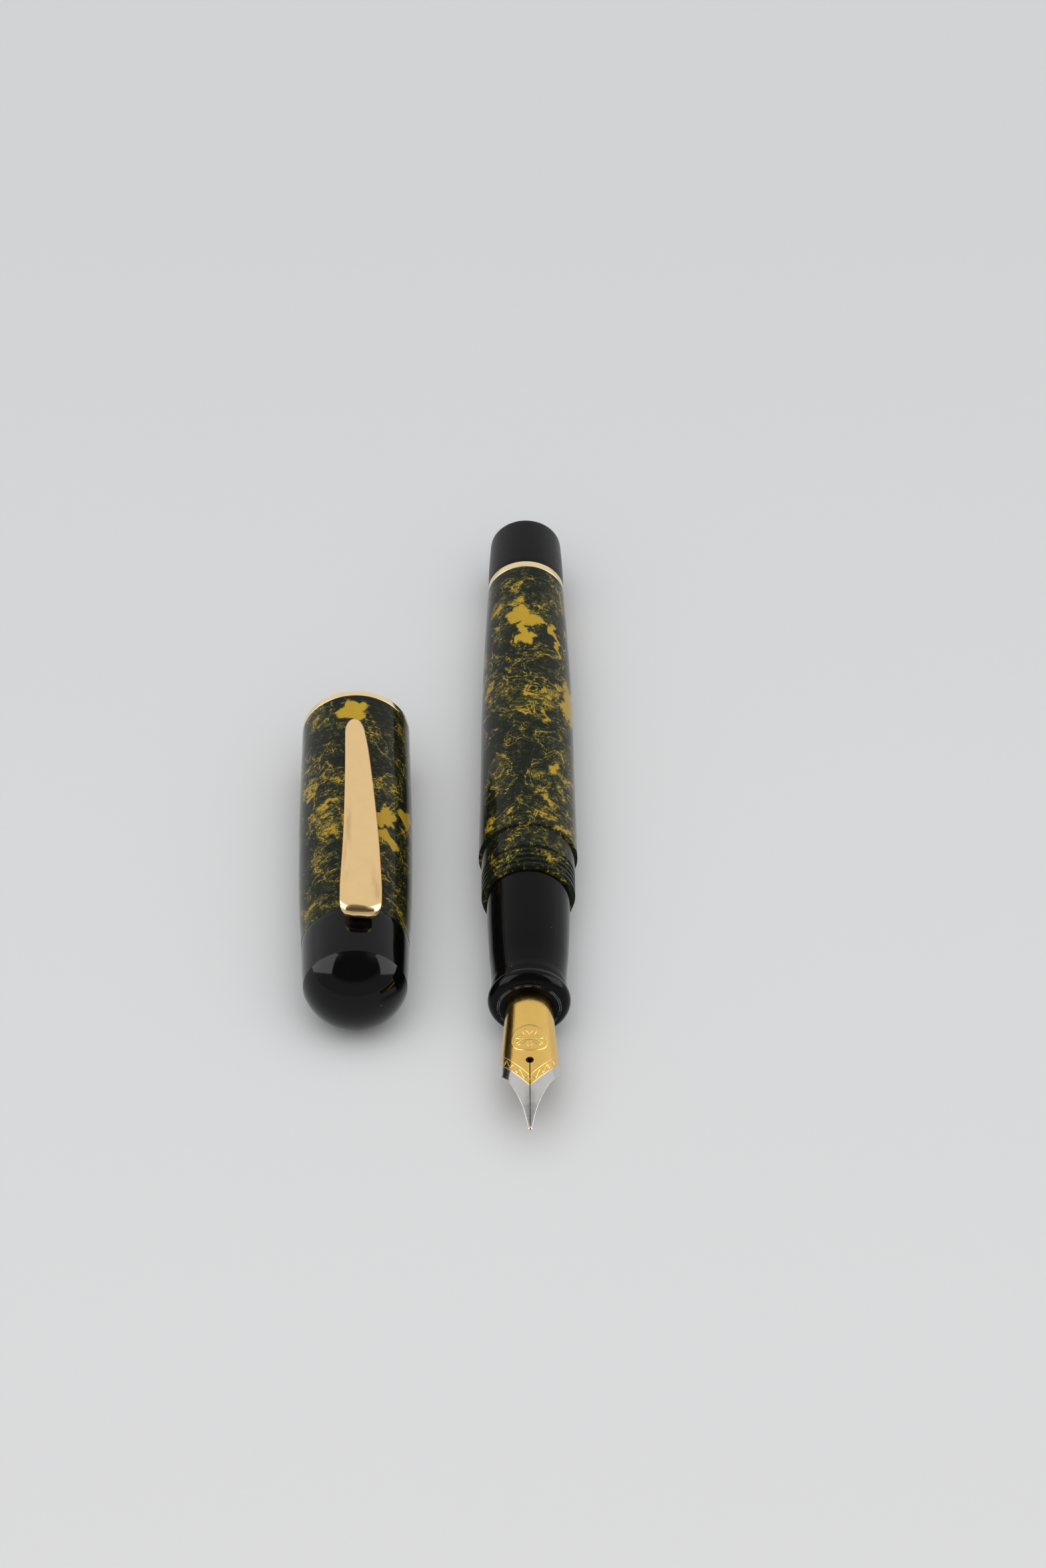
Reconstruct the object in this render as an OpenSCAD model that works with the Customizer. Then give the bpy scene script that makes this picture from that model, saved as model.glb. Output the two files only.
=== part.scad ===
// Fountain pen with a twist-piston filler, shown uncapped with its screw cap
// lying beside it. Millimetres, +Z up. The pen lies along Y with the nib
// towards -Y, and the cap lies on its -X side. The origin is on the pen's axis,
// at the middle of the short cylindrical stretch of the barrel. Stations called
// s are measured along the axis, from the grip lip (s = 0) towards the turning
// knob. The cap has stations of its own, from near its dome towards its mouth.

/* [Pen] */
// Distance from the grip lip to the origin
lip_dist = 50; // [49:0.5:51]
// Radius of the grip lip
lip_r = 6.0; // [5.8:0.05:6.1]
// Radius of the waist behind the grip lip
waist_r = 5.46; // [5.3:0.02:5.6]
// Radius of the barrel at its front edge
barrel_r = 7.38; // [7.25:0.01:7.5]
// Radius of the cylindrical stretch of the barrel
grip_r = 7.14; // [7.05:0.01:7.2]
// Radius of the barrel at the gold ring
tail_r = 6.05; // [6.0:0.01:6.15]
// Ink chamber bore radius
bore_r = 4.6; // [4.5:0.05:4.7]
// Length of the turning knob
knob_len = 11.5; // [10.5:0.5:14]
// Radius of the knob at its end, before the edge is rounded
knob_end_r = 5.6; // [5.4:0.05:5.8]

/* [Cap thread] */
// Number of thread ridges on the barrel nose
ridges = 4; // [3:1:4]
// Distance between ridges
pitch = 1.0; // [0.8:0.05:1.0]
// Crest radius of the barrel thread
crest_r = 6.95; // [6.90:0.01:6.96]
// Depth of the thread
thread_depth = 0.40; // [0.3:0.02:0.45]

/* [Nib] */
// Thickness of the nib sheet
nib_t = 0.35; // [0.3:0.01:0.38]
// Breather hole radius
breather_r = 0.58; // [0.4:0.02:0.7]
// Width of the ink slit
slit_w = 0.12; // [0.08:0.01:0.2]
// Radius of the tipping pellet
pellet_r = 0.36; // [0.3:0.01:0.4]
// Number of slots that cut the feed into fins
fins = 8; // [4:1:10]

/* [Filler] */
// Radius of the threaded spindle
spindle_r = 2.0; // [1.8:0.05:2.05]
// Outer radius of the piston rod
rod_r = 2.9; // [2.8:0.05:3.1]
// Width across the flats of the piston rod
rod_flats = 4.8; // [4.6:0.1:5.2]

/* [Cap] */
// Sideways distance from the pen's axis to the middle of the cap's axis
cap_gap = 25.64; // [18:0.01:60]
// Turn of the cap away from the pen's direction, in degrees
cap_yaw = 1.24; // [0:0.01:3]
// Largest radius of the cap
cap_r = 8.48; // [8.4:0.01:8.6]
// Turn of the clip away from straight up, in degrees
clip_roll = 6; // [0:1:10]
// Half width of the clip at its wide end
clip_half = 3.07; // [2.6:0.01:3.3]
// Half width of the clip at its tip
clip_tip_half = 1.52; // [1.2:0.01:1.8]
// Height that the dome rises above the edge of the finial
dome_h = 5.3; // [3.5:0.1:5.5]

/* [Hidden] */
$fn = 96;

marble = [0.30, 0.27, 0.10];
black = [0.06, 0.06, 0.07];
gold = [0.86, 0.70, 0.42];
steel = [0.72, 0.72, 0.74];
rubber = [0.12, 0.12, 0.12];
clear_grey = [0.55, 0.56, 0.58];

// ---- shared frames and shapes ----

// Upright frame on the pen's axis, with y as the station s
module pen_top() translate([0, -lip_dist, 0]) children();

// Frame on the pen's axis, with z as the station s
module pen_axis() pen_top() rotate([-90, 0, 0]) children();

// Solid of revolution from points [radius, s]
module lathe(points) rotate_extrude() polygon(points);

module tube(outer_r, inner_r, s_from, s_to)
    lathe([[inner_r, s_from], [outer_r, s_from], [outer_r, s_to], [inner_r, s_to]]);

module oring(ring_r, cord_r, s)
    rotate_extrude() translate([ring_r, s]) circle(r = cord_r, $fn = 32);

// Lathe points of a square groove centred on s
function groove(outer_r, floor_r, s, width) = [
    [outer_r, s - width / 2], [floor_r, s - width / 2],
    [floor_r, s + width / 2], [outer_r, s + width / 2]];

// ---- pen: barrel and section ----

s_nose = -1.5;                // front face of section, collar and feed stem
s_thread = 21.2;              // front end of the barrel
s_step = 29.9;                // step where the closed cap stops
s_nose_bore = 31.7;           // back end of the bore that takes the section
s_chamber_end = 64.5;         // back end of the ink chamber
s_tail = 91.65;               // back end of the barrel
s_section_seal = 29.7;
nose_bore_r = 5.65;
tail_bore_r = 5.2;            // bore that takes the filler housing
spigot_r = nose_bore_r - 0.05;
collar_bore_r = 4.0;          // bore of the section around the collar
flange_bore_r = 4.47;         // recess for the collar's flange
stem_bore_r = 3.0;            // narrow back bore of the section

// Ridge profile of the cap thread, crests towards the front
function barrel_ridges() = let (root_r = crest_r - thread_depth)
    [for (i = [0 : ridges - 1]) let (s = s_thread + i * pitch) each [
        [root_r + 0.04, s], [crest_r, s + 0.22 * pitch], [crest_r, s + 0.52 * pitch],
        [root_r, s + 0.80 * pitch], [root_r, s + 0.98 * pitch]]];

module barrel() color(marble) pen_axis() lathe(concat(
    [[nose_bore_r, s_thread]],
    barrel_ridges(),
    [[crest_r, s_thread + ridges * pitch + 0.15], [crest_r, s_step],
     [barrel_r - 0.06, s_step], [barrel_r, s_step + 0.06],
     [barrel_r - 0.06, 35], [barrel_r - 0.12, 40], [grip_r, 44], [grip_r, 56],
     [grip_r - 0.07, 60.5], [grip_r - 0.17, 65.5], [grip_r - 0.29, 71],
     [grip_r - 0.42, 75], [grip_r - 0.60, 79.5], [grip_r - 0.77, 84],
     [grip_r - 0.94, 88], [tail_r, s_tail],
     [tail_bore_r, s_tail], [tail_bore_r, s_chamber_end], [bore_r, s_chamber_end],
     [bore_r, s_nose_bore], [nose_bore_r, s_nose_bore]]));

// Grip with a rounded lip in front and a spigot inside the barrel
module section() color(black) pen_axis() lathe(concat(
    [[flange_bore_r, s_nose], [lip_r - 0.75, s_nose]],
    [for (angle = [-80 : 10 : 60])
        [lip_r - 1.28 + 1.28 * cos(angle), 0.05 + 1.5 * sin(angle)]],
    [[waist_r + 0.06, 2.1], [waist_r, 3.2], [waist_r + 0.03, 4.6],
     [waist_r + 0.16, 6.9], [waist_r + 0.29, 8.6], [waist_r + 0.43, 11.3],
     [waist_r + 0.55, 14.2], [waist_r + 0.65, 17.7],
     [waist_r + 0.72, s_thread - 0.05], [spigot_r, s_thread - 0.05]],
    groove(spigot_r, 4.75, s_section_seal, 1.0),
    [[spigot_r, s_nose_bore - 0.3], [stem_bore_r, s_nose_bore - 0.3],
     [stem_bore_r, 17.5], [collar_bore_r, 17.5], [collar_bore_r, -0.3],
     [flange_bore_r, -0.3]]));

module section_seal() color(rubber) pen_axis() oring(5.19, 0.42, s_section_seal);

// ---- pen: collar and feed ----

flange_r = flange_bore_r - 0.03;
flange_chamfer = 0.14;
belly_bore_r = 3.38;          // front bore of the collar
stem_r = 2.9;                 // stem of the feed
slot_w = 0.35;                // buffer slots of the feed
slot_pitch = 0.95;
channel_w = 0.4;              // ink channel

module nib_collar() color(black) pen_axis() lathe([
    [belly_bore_r, s_nose], [flange_r - flange_chamfer, s_nose],
    [flange_r, s_nose + flange_chamfer], [flange_r, -0.34],
    [collar_bore_r - 0.03, -0.34], [collar_bore_r - 0.03, 16.8],
    [stem_bore_r - 0.04, 16.8], [stem_bore_r - 0.04, 9.0], [belly_bore_r, 9.0]]);

// Cone that runs forward from station s and height z, rising by an angle
module forward_cone(s, z, rise, back_r, front_r, length)
    translate([0, s, z]) rotate([-rise, 0, 0]) rotate([90, 0, 0])
        cylinder(r1 = back_r, r2 = front_r, h = length);

// Feed: a round rear stem, a fuller belly where the collar holds it, and a
// tapering front with fins under the nib
module feed() color(black) difference() {
    union() {
        pen_axis() translate([0, 0, s_nose]) cylinder(r = stem_r, h = 20);
        // belly, below the nib sheet
        intersection() {
            pen_axis() translate([0, 0, s_nose]) cylinder(r = belly_bore_r - 0.05, h = 10.4);
            pen_top() translate([-4, -2, -4]) cube([8, 12, 4.5]);
        }
        pen_top() {
            // rises towards the front so that its top follows the nib's underside
            forward_cone(s = -1.2, z = 0.10, rise = 7.27,
                         back_r = 2.8, front_r = 1.0, length = 11.6);
            // slender nose under the tines, past the breather hole
            forward_cone(s = -12.31, z = 1.517, rise = 2.67,
                         back_r = 0.92, front_r = 0.50, length = 5.0);
        }
    }
    pen_top() {
        // comb of buffer slots, open to the sides and below
        for (i = [0 : fins - 1])
            translate([-5, -2.9 - slot_pitch * i, -5]) cube([10, slot_w, 5.6 + 0.1 * i]);
        // ink channel along the top
        translate([-channel_w / 2, -18, 2.1]) cube([channel_w, 37.5, 2]);
    }
    // the back end of the stem is slimmer
    pen_axis() translate([0, 0, 17.6]) difference() {
        cylinder(r = 4, h = 2);
        translate([0, 0, -1]) cylinder(r = 2.2, h = 4);
    }
}

// ---- nib: a curved sheet, widest at the shoulders, drooping to the tip ----

// Stations of the sheet's cross sections, back to front
nib_stations = [
    8.4, 6, 3.5, 1, -1.5, -2.7, -4.4, -6.1, -8.2, -10.3, -12.4, -13.6, -14.3,
    -14.8, -15.2, -15.6, -16.2, -17, -18, -19.2, -20.7, -21.7, -22.7, -23.5,
    -24.3, -25, -25.6, -26.3];
// [s, radius of the outer surface across the sheet]
nib_radii = [
    [-26.3, 8], [-22, 6.5], [-18, 5.2], [-14.5, 4.43], [-10.3, 4.14],
    [-6.1, 3.78], [-2.7, 3.48], [-1.5, 3.35], [8.4, 3.35]];
// [s, height of the sheet's crown above the pen's axis]
nib_heights = [
    [-26.3, 1.45], [-24, 1.86], [-22, 2.2], [-19, 2.62], [-14.7, 2.95],
    [-8, 3.22], [-4, 3.31], [-1.5, 3.35], [8.4, 3.35]];
// [s, half width measured along the curve]
nib_half_widths = [
    [-26.3, 0.30], [-25.6, 0.43], [-24.3, 0.70], [-22.7, 1.12], [-20.7, 1.90],
    [-19.2, 2.60], [-18, 3.25], [-17, 3.95], [-16.2, 4.65], [-15.6, 5.35],
    [-15.2, 5.8], [-14.8, 6.05], [-14.3, 6.15], [-10.3, 5.8], [-6.1, 5.28],
    [-2.7, 4.7], [-1.5, 4.3], [3.5, 3.9], [8.4, 3.6]];
half_strips = 12;             // strips on each side of the middle line
s_breather = -14.7;

// Point of the sheet at a depth below its outer surface
function nib_point(s, strip, depth) =
    let (radius = lookup(s, nib_radii),
         edge_angle = lookup(s, nib_half_widths) / radius * 180 / PI,
         angle = edge_angle * strip / half_strips)
    [(radius - depth) * sin(angle), s,
     lookup(s, nib_heights) - radius + (radius - depth) * cos(angle)];

// Four corners as two triangles
function quad(a, b, c, d) = [[a, b, c], [a, c, d]];

module nib_sheet() {
    row = 2 * half_strips + 1;                // points in a cross section
    last = len(nib_stations) - 1;
    under = len(nib_stations) * row;          // index of the first underside point
    right = row - 1;
    front = last * row;
    points = [for (depth = [0, nib_t]) for (s = nib_stations)
        for (strip = [-half_strips : half_strips]) nib_point(s, strip, depth)];
    // outer surface and underside
    surfaces = [for (i = [0 : last - 1]) for (j = [0 : row - 2])
        let (a = i * row + j, b = a + row) each concat(
            quad(a, b, b + 1, a + 1),
            quad(under + a, under + a + 1, under + b + 1, under + b))];
    // long edges on the -X and +X sides
    edges = [for (i = [0 : last - 1]) let (a = i * row, b = a + row) each concat(
        quad(a, under + a, under + b, b),
        quad(a + right, b + right, under + b + right, under + a + right))];
    // back and front ends
    ends = [for (j = [0 : row - 2]) let (k = front + j) each concat(
        quad(j, j + 1, under + j + 1, under + j),
        quad(k, under + k, under + k + 1, k + 1))];
    polyhedron(points = points, faces = concat(surfaces, edges, ends));
}

module nib() color(gold) pen_top() difference() {
    nib_sheet();
    translate([0, s_breather, 0]) cylinder(r = breather_r, h = 6, $fn = 32);
    // ink slit from the tip to the breather hole
    translate([-slit_w / 2, -27, 0]) cube([slit_w, 12.2, 5]);
}

// Pellet cut flat where it meets the tip
module nib_tip() color(steel) pen_top() intersection() {
    translate([0, -26.52, 1.24]) sphere(r = pellet_r, $fn = 32);
    translate([-1, -28, 0]) cube([2, 1.68, 3]);
}

// ---- pen: filler ----

s_knob = 93.05;               // front face of the knob
s_knob_end = s_knob + knob_len;
knob_round = 1;               // rounding of the knob's end edge
housing_r = tail_bore_r - 0.05;
s_housing_seal = 70.55;
stub_r = 2.5;                 // plain back end of the spindle
s_stub_end = 100;
spindle_pitch = 2;
slide_gap = 0.05;             // clearance around the rod and the spindle
head_r = 4.3;                 // piston head
s_head = 55.0;
s_head_end = 60.0;
head_chamfer = 0.4;
s_front_seal = 56.5;
s_rear_seal = 58.5;

// Trims its child to the rod's flats, each moved out by gap
module between_flats(gap, s_from, length) intersection() {
    children();
    translate([-rod_flats / 2 - gap, -4, s_from]) cube([rod_flats + 2 * gap, 8, length]);
}

module filler_housing() color(clear_grey) pen_axis() difference() {
    lathe(concat(
        [[0.5, 66.6], [4.3, 66.6], [4.3, 68.4], [housing_r, 68.4]],
        groove(housing_r, 4.55, s_housing_seal, 1.1),
        [[housing_r, 93.0], [4.5, 93.0], [4.5, 88.0], [3.35, 88.0], [3.35, 69.6],
         [0.5, 69.6]]));
    // keyed hole that guides the rod and stops it turning
    between_flats(slide_gap, 66, 4)
        translate([0, 0, 66]) cylinder(r = rod_r + slide_gap, h = 4);
}

module housing_seal() color(rubber) pen_axis() oring(4.87, 0.31, s_housing_seal);

module barrel_ring() color(gold) pen_axis() lathe([
    [tail_bore_r - 0.02, s_tail + 0.02], [tail_r, s_tail + 0.02],
    [tail_r - 0.02, s_knob - 0.05], [tail_bore_r - 0.02, s_knob - 0.05]]);

module retaining_ring() color(steel) pen_axis() tube(4.47, stub_r + 0.06, 89.72, 91.2);

module friction_washer() color(rubber) pen_axis() tube(4.4, stub_r + 0.03, 91.3, 92.9);

// Spindle: ridged front, thrust collar, plain stub inside the knob
module spindle() color(steel) pen_axis() lathe(concat(
    [[0, 61.0], [spindle_r - 0.45, 61.0]],
    [for (i = [0 : 10]) let (s = 61.5 + spindle_pitch * i) each [
        [spindle_r - 0.4, s], [spindle_r, s + 0.6],
        [spindle_r, s + 1.2], [spindle_r - 0.4, s + 1.8]]],
    [[spindle_r, 84.2], [spindle_r, 88.1], [4.4, 88.1], [4.4, 89.62],
     [stub_r, 89.62], [stub_r, s_stub_end], [0, s_stub_end]]));

module turning_knob() color(black) pen_axis() lathe(concat(
    [[stub_r + 0.02, s_knob], [tail_r - 0.04, s_knob],
     [(tail_r + knob_end_r) / 2 + 0.02, (s_knob + s_knob_end) / 2]],
    [for (angle = [0 : 15 : 90])
        [knob_end_r + knob_round * (cos(angle) - 1),
         s_knob_end + knob_round * (sin(angle) - 1)]],
    [[0, s_knob_end], [0, s_stub_end + 0.1], [stub_r + 0.02, s_stub_end + 0.1]]));

module piston_rod() color(clear_grey) pen_axis() difference() {
    between_flats(0, 60, 28.5)
        translate([0, 0, s_head_end + 0.05]) cylinder(r = rod_r, h = 27.9);
    translate([0, 0, 60.6]) cylinder(r = spindle_r + slide_gap, h = 30);
}

module piston_head() color(clear_grey) pen_axis() lathe(concat(
    [[0, s_head], [head_r - head_chamfer, s_head], [head_r, s_head + head_chamfer]],
    groove(head_r, 3.62, s_front_seal, 1.0),
    groove(head_r, 3.62, s_rear_seal, 1.0),
    [[head_r, s_head_end - head_chamfer], [head_r - head_chamfer, s_head_end],
     [0, s_head_end]]));

module piston_seal(s) color(rubber) pen_axis() oring(4.11, 0.47, s);
module piston_seal_front() piston_seal(s_front_seal);
module piston_seal_rear() piston_seal(s_rear_seal);

// ---- cap ----

table_z = -barrel_r;          // the surface both pieces lie on
cap_z = table_z + cap_r;
s_mid = 27;                   // middle of the cap, which it is turned about
s_edge = 1.55;                // edge of the finial's dome
s_seam = 10.2;                // joint line between cap tube and finial
s_spigot_end = 15.4;          // end of the finial inside the tube
s_lip_ring = 56.65;           // step that takes the lip ring
s_mouth = 57.85;              // mouth of the cap
edge_r = 7.52;
cap_bore_r = 6.95;
mouth_bore_r = 7.02;
mouth_r = 8.20;
lip_seat_r = 7.70;
finial_bore_r = 5.60;
s_finial_bore = -0.30;        // closed end of the finial's bore
dome_r = (edge_r * edge_r + dome_h * dome_h) / (2 * dome_h);
dome_steps = 14;

// Cap's upright frame: turned a little about its middle, with y as its station s
module cap_place()
    translate([-cap_gap, s_mid - lip_dist, cap_z]) rotate([0, 0, cap_yaw])
        translate([0, -s_mid, 0]) children();

// Frame on the cap's axis, with z as the station s
module cap_axis() cap_place() rotate([-90, 0, 0]) children();

// Upright frame, turned about the cap's axis by the clip's roll
module cap_top() cap_place() rotate([0, clip_roll, 0]) children();

// Inner thread ridges, from the mouth inwards
function cap_ridges() = [for (i = [0 : ridges - 1]) let (s = 53.2 - i * pitch) each [
    [mouth_bore_r, s - 0.02], [6.66, s - 0.3], [6.66, s - 0.5], [mouth_bore_r, s - 0.85]]];

module cap_tube() color(marble) cap_axis() lathe(concat(
    [[7.90, s_seam + 0.05], [7.94, 11.7], [8.06, 13.4], [8.17, 15.6], [8.30, 19],
     [8.39, 23], [cap_r - 0.03, 28], [cap_r, 32], [cap_r, 36], [cap_r - 0.04, 41],
     [8.36, 46.5], [8.27, 52], [mouth_r, s_lip_ring], [lip_seat_r, s_lip_ring],
     [lip_seat_r, s_mouth - 0.05], [mouth_bore_r, s_mouth - 0.05], [mouth_bore_r, 53.3]],
    cap_ridges(),
    [[cap_bore_r, 49.0], [cap_bore_r, s_seam + 0.05]]));

module cap_lip_ring() color(gold) cap_axis() lathe([
    [lip_seat_r + 0.03, s_lip_ring + 0.03], [mouth_r, s_lip_ring + 0.03],
    [mouth_r - 0.01, s_mouth - 0.2], [mouth_r - 0.2, s_mouth],
    [lip_seat_r + 0.03, s_mouth]]);

// Arc of the dome, from the cap's axis out to its edge
function dome_points() = [for (i = [0 : dome_steps])
    let (angle = asin(edge_r / dome_r) * i / dome_steps)
    [dome_r * sin(angle), s_edge - dome_h + dome_r - dome_r * cos(angle)]];

module inner_cap() color(black) cap_axis() lathe([
    [0, s_finial_bore + 0.05], [finial_bore_r - 0.05, s_finial_bore + 0.05],
    [finial_bore_r - 0.05, s_spigot_end + 0.1], [6.88, s_spigot_end + 0.1],
    [6.88, 48.9], [6.20, 48.9], [6.20, 16.4], [4.90, 16.4], [4.90, 0.5], [0, 0.5]]);

// ---- cap: finial, clip ring and clip ----

s_washer = 9.76;              // clip ring's washer and lug
washer_t = 0.38;
s_washer_end = s_washer + washer_t;
s_seat = s_washer - 0.04;     // shoulder of the finial in front of the washer
lug_half = 1.55;              // half width of lug and tang
slot_half = lug_half + 0.15;
bead_half = lug_half - 0.1;

// Domed end with a tapered wall and a spigot inside the tube
module cap_finial() color(black) difference() {
    cap_axis() lathe(concat(
        dome_points(),
        [[7.62, 3.0], [7.75, 5.5], [7.84, 8.0], [7.88, s_seam], [7.64, s_seam],
         [7.64, s_seat], [6.90, s_seat], [6.90, s_spigot_end],
         [finial_bore_r, s_spigot_end], [finial_bore_r, s_finial_bore],
         [0, s_finial_bore]]));
    // slot where the clip's lug comes out at the joint line
    cap_top() translate([-slot_half, s_seat, 7]) cube([2 * slot_half, 1.2, 2]);
}

// Spring-steel washer clamped under the finial, with the lug that holds the clip.
// The lug ends in a rolled bead that the clip springs about.
module clip_ring() color(gold) {
    cap_axis() tube(7.60, 6.94, s_washer, s_washer_end);
    cap_top() {
        translate([-lug_half, s_washer, 7.3]) cube([2 * lug_half, washer_t, 1.4]);
        translate([-bead_half, s_washer + washer_t / 2, 8.70]) rotate([0, 90, 0])
            cylinder(r = 0.24, h = 2 * bead_half, $fn = 32);
    }
}

// +X half of the clip seen from above: [half width, s]
clip_plan = concat(
    [for (angle = [0 : 9 : 90]) [clip_half * sin(angle), 9.7 - 2.85 * cos(angle)]],
    [[clip_half, 12.4]],
    [for (angle = [0 : 10 : 90])
        [clip_tip_half * cos(angle), 47.6 + clip_tip_half * sin(angle)]]);
// Clip seen from the side: [s, height above the cap's axis]
clip_side = [
    [6.8, 8.95], [6.95, 9.55], [7.5, 10.05], [8.4, 10.4], [10, 10.62], [14, 10.72],
    [24, 10.82], [34, 10.68], [42, 10.30], [46.5, 9.92], [48.5, 9.6], [49.2, 9.1],
    [49.0, 8.80], [48.2, 8.50], [47.4, 8.42], [46.4, 8.55], [45.2, 8.95], [42, 9.38],
    [34, 9.68], [24, 9.78], [14, 9.62], [11, 9.5], [s_washer_end, 9.4],
    [s_washer_end, 9.0], [s_washer, 9.0], [s_washer, 9.3], [9, 9.15], [8, 8.8],
    [7.2, 8.62]];

module clip() color(gold) cap_top() difference() {
    intersection() {
        linear_extrude(height = 14)
            polygon(concat(clip_plan, [for (i = [len(clip_plan) - 1 : -1 : 0])
                [-clip_plan[i][0], clip_plan[i][1]]]));
        translate([-5, 0, 0]) rotate([90, 0, 90])
            linear_extrude(height = 10) polygon(clip_side);
    }
    // the tang is narrower than the blade
    for (side = [0, 1])
        mirror([side, 0, 0]) translate([lug_half, 9.7, 8.9]) cube([4, 0.5, 0.45]);
}

barrel();
section();
section_seal();
nib_collar();
feed();
nib();
nib_tip();
filler_housing();
housing_seal();
barrel_ring();
retaining_ring();
spindle();
friction_washer();
turning_knob();
piston_rod();
piston_head();
piston_seal_front();
piston_seal_rear();
cap_tube();
cap_lip_ring();
cap_finial();
inner_cap();
clip_ring();
clip();
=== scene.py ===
# A fountain pen and its cap, lying side by side on a pale floor. The pen lies along Y, nib towards
# -Y and turning knob towards +Y. The cap lies at -X of it, finial towards -Y, with its clip on
# top. Lengths are millimetres and become metres when a mesh is made. A "station" is the distance
# along a piece's own axis: 0 is near the grip lip on the pen, and near the finial on the cap.
import math

import bmesh
import bpy
import numpy as np
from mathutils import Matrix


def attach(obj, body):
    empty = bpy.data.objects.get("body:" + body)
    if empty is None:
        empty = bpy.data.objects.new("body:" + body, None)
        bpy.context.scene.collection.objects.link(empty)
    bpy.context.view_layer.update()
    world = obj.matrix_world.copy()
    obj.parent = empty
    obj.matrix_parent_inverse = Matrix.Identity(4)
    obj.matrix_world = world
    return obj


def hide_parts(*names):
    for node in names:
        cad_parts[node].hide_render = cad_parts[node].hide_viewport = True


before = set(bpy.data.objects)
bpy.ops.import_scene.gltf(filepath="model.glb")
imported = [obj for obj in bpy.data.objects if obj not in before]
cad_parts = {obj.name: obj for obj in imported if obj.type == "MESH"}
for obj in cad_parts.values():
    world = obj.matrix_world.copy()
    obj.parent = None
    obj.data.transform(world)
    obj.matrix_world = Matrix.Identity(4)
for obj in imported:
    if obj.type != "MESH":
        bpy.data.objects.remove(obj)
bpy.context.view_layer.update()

MM = 0.001
LIP = 50.0  # distance from station 0 of the pen to the origin
TABLE = -7.38  # height of the surface both pieces lie on
CAP_X, CAP_Z = -25.64, 1.10  # where the cap's axis lies
CAP_MID = 27.0  # station the cap is turned about
CAP_YAW = math.radians(1.24)
CLIP_ROLL = math.radians(6)  # turn of the clip about the cap's axis
SEGMENTS = 256  # around most turned pieces
THREAD_PITCH, THREAD_DEPTH = 1.05, 0.34

# ------------------------------------------------------------------ geometry


def pen_frame(points):
    """Places (x, station, z) on the pen's axis."""
    return np.asarray(points, float) + np.array([0.0, -LIP, 0.0])


def cap_frame(points, roll=0.0):
    """Places (x, station, z) on the cap's axis, after a roll about it."""
    x, station, z = np.moveaxis(np.asarray(points, float), -1, 0)
    rolled_x = x * math.cos(roll) + z * math.sin(roll)
    rolled_z = -x * math.sin(roll) + z * math.cos(roll)
    y = station - CAP_MID
    cos, sin = math.cos(CAP_YAW), math.sin(CAP_YAW)
    placed_x = CAP_X + rolled_x * cos - y * sin
    placed_y = CAP_MID - LIP + rolled_x * sin + y * cos
    return np.stack([placed_x, placed_y, CAP_Z + rolled_z], -1)


def smooth_curve(table, at):
    """Monotone cubic through a table of (x, y) in order of x."""
    x, y = np.array(table, float).T
    gap = np.diff(x)
    slope = np.diff(y) / gap
    tangent = np.zeros(len(x))
    for i in range(1, len(x) - 1):
        if slope[i - 1] * slope[i] > 0:
            before, after = 2 * gap[i] + gap[i - 1], gap[i] + 2 * gap[i - 1]
            tangent[i] = (before + after) / (before / slope[i - 1] + after / slope[i])
    tangent[0], tangent[-1] = slope[0], slope[-1]
    at = np.clip(np.asarray(at, float), x[0], x[-1])
    k = np.clip(np.searchsorted(x, at, side="right") - 1, 0, len(x) - 2)
    u = (at - x[k]) / gap[k]
    return (
        (1 + 2 * u) * (1 - u) ** 2 * y[k]
        + u * (1 - u) ** 2 * gap[k] * tangent[k]
        + u * u * (3 - 2 * u) * y[k + 1]
        + u * u * (u - 1) * gap[k] * tangent[k + 1]
    )


def step(x, start, end):
    """Smooth step from 0 at start to 1 at end."""
    u = np.clip((np.asarray(x, float) - start) / (end - start), 0, 1)
    return u * u * (3 - 2 * u)


def curve_rows(table, stations):
    """Outline points (radius, station) on a curve through (station, radius)."""
    return list(zip(smooth_curve(table, stations).tolist(), stations.tolist()))


def fillet(outline, arc_steps=5):
    """Rounds a closed outline of (radius, station) or (radius, station, corner radius)."""
    rounded = []
    for i, point in enumerate(outline):
        corner = np.array(point[:2], float)
        if len(point) < 3:
            rounded.append(tuple(corner))
            continue
        before = np.array(outline[i - 1][:2], float) - corner
        after = np.array(outline[(i + 1) % len(outline)][:2], float) - corner
        room_before, room_after = np.linalg.norm(before), np.linalg.norm(after)
        before, after = before / room_before, after / room_after
        half = math.acos(np.clip(before @ after, -1, 1)) / 2
        setback = min(point[2] / math.tan(half), 0.48 * room_before, 0.48 * room_after)
        radius = setback * math.tan(half)
        bisector = (before + after) / np.linalg.norm(before + after)
        centre = corner + bisector * radius / math.sin(half)
        arc_start = corner + before * setback - centre
        arc_end = corner + after * setback - centre
        angle = math.atan2(arc_start[1], arc_start[0])
        sweep = math.atan2(arc_end[1], arc_end[0]) - angle
        sweep = (sweep + math.pi) % (2 * math.pi) - math.pi
        for k in range(arc_steps + 1):
            t = angle + sweep * k / arc_steps
            rounded.append((centre[0] + radius * math.cos(t), centre[1] + radius * math.sin(t)))
    return rounded


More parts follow.
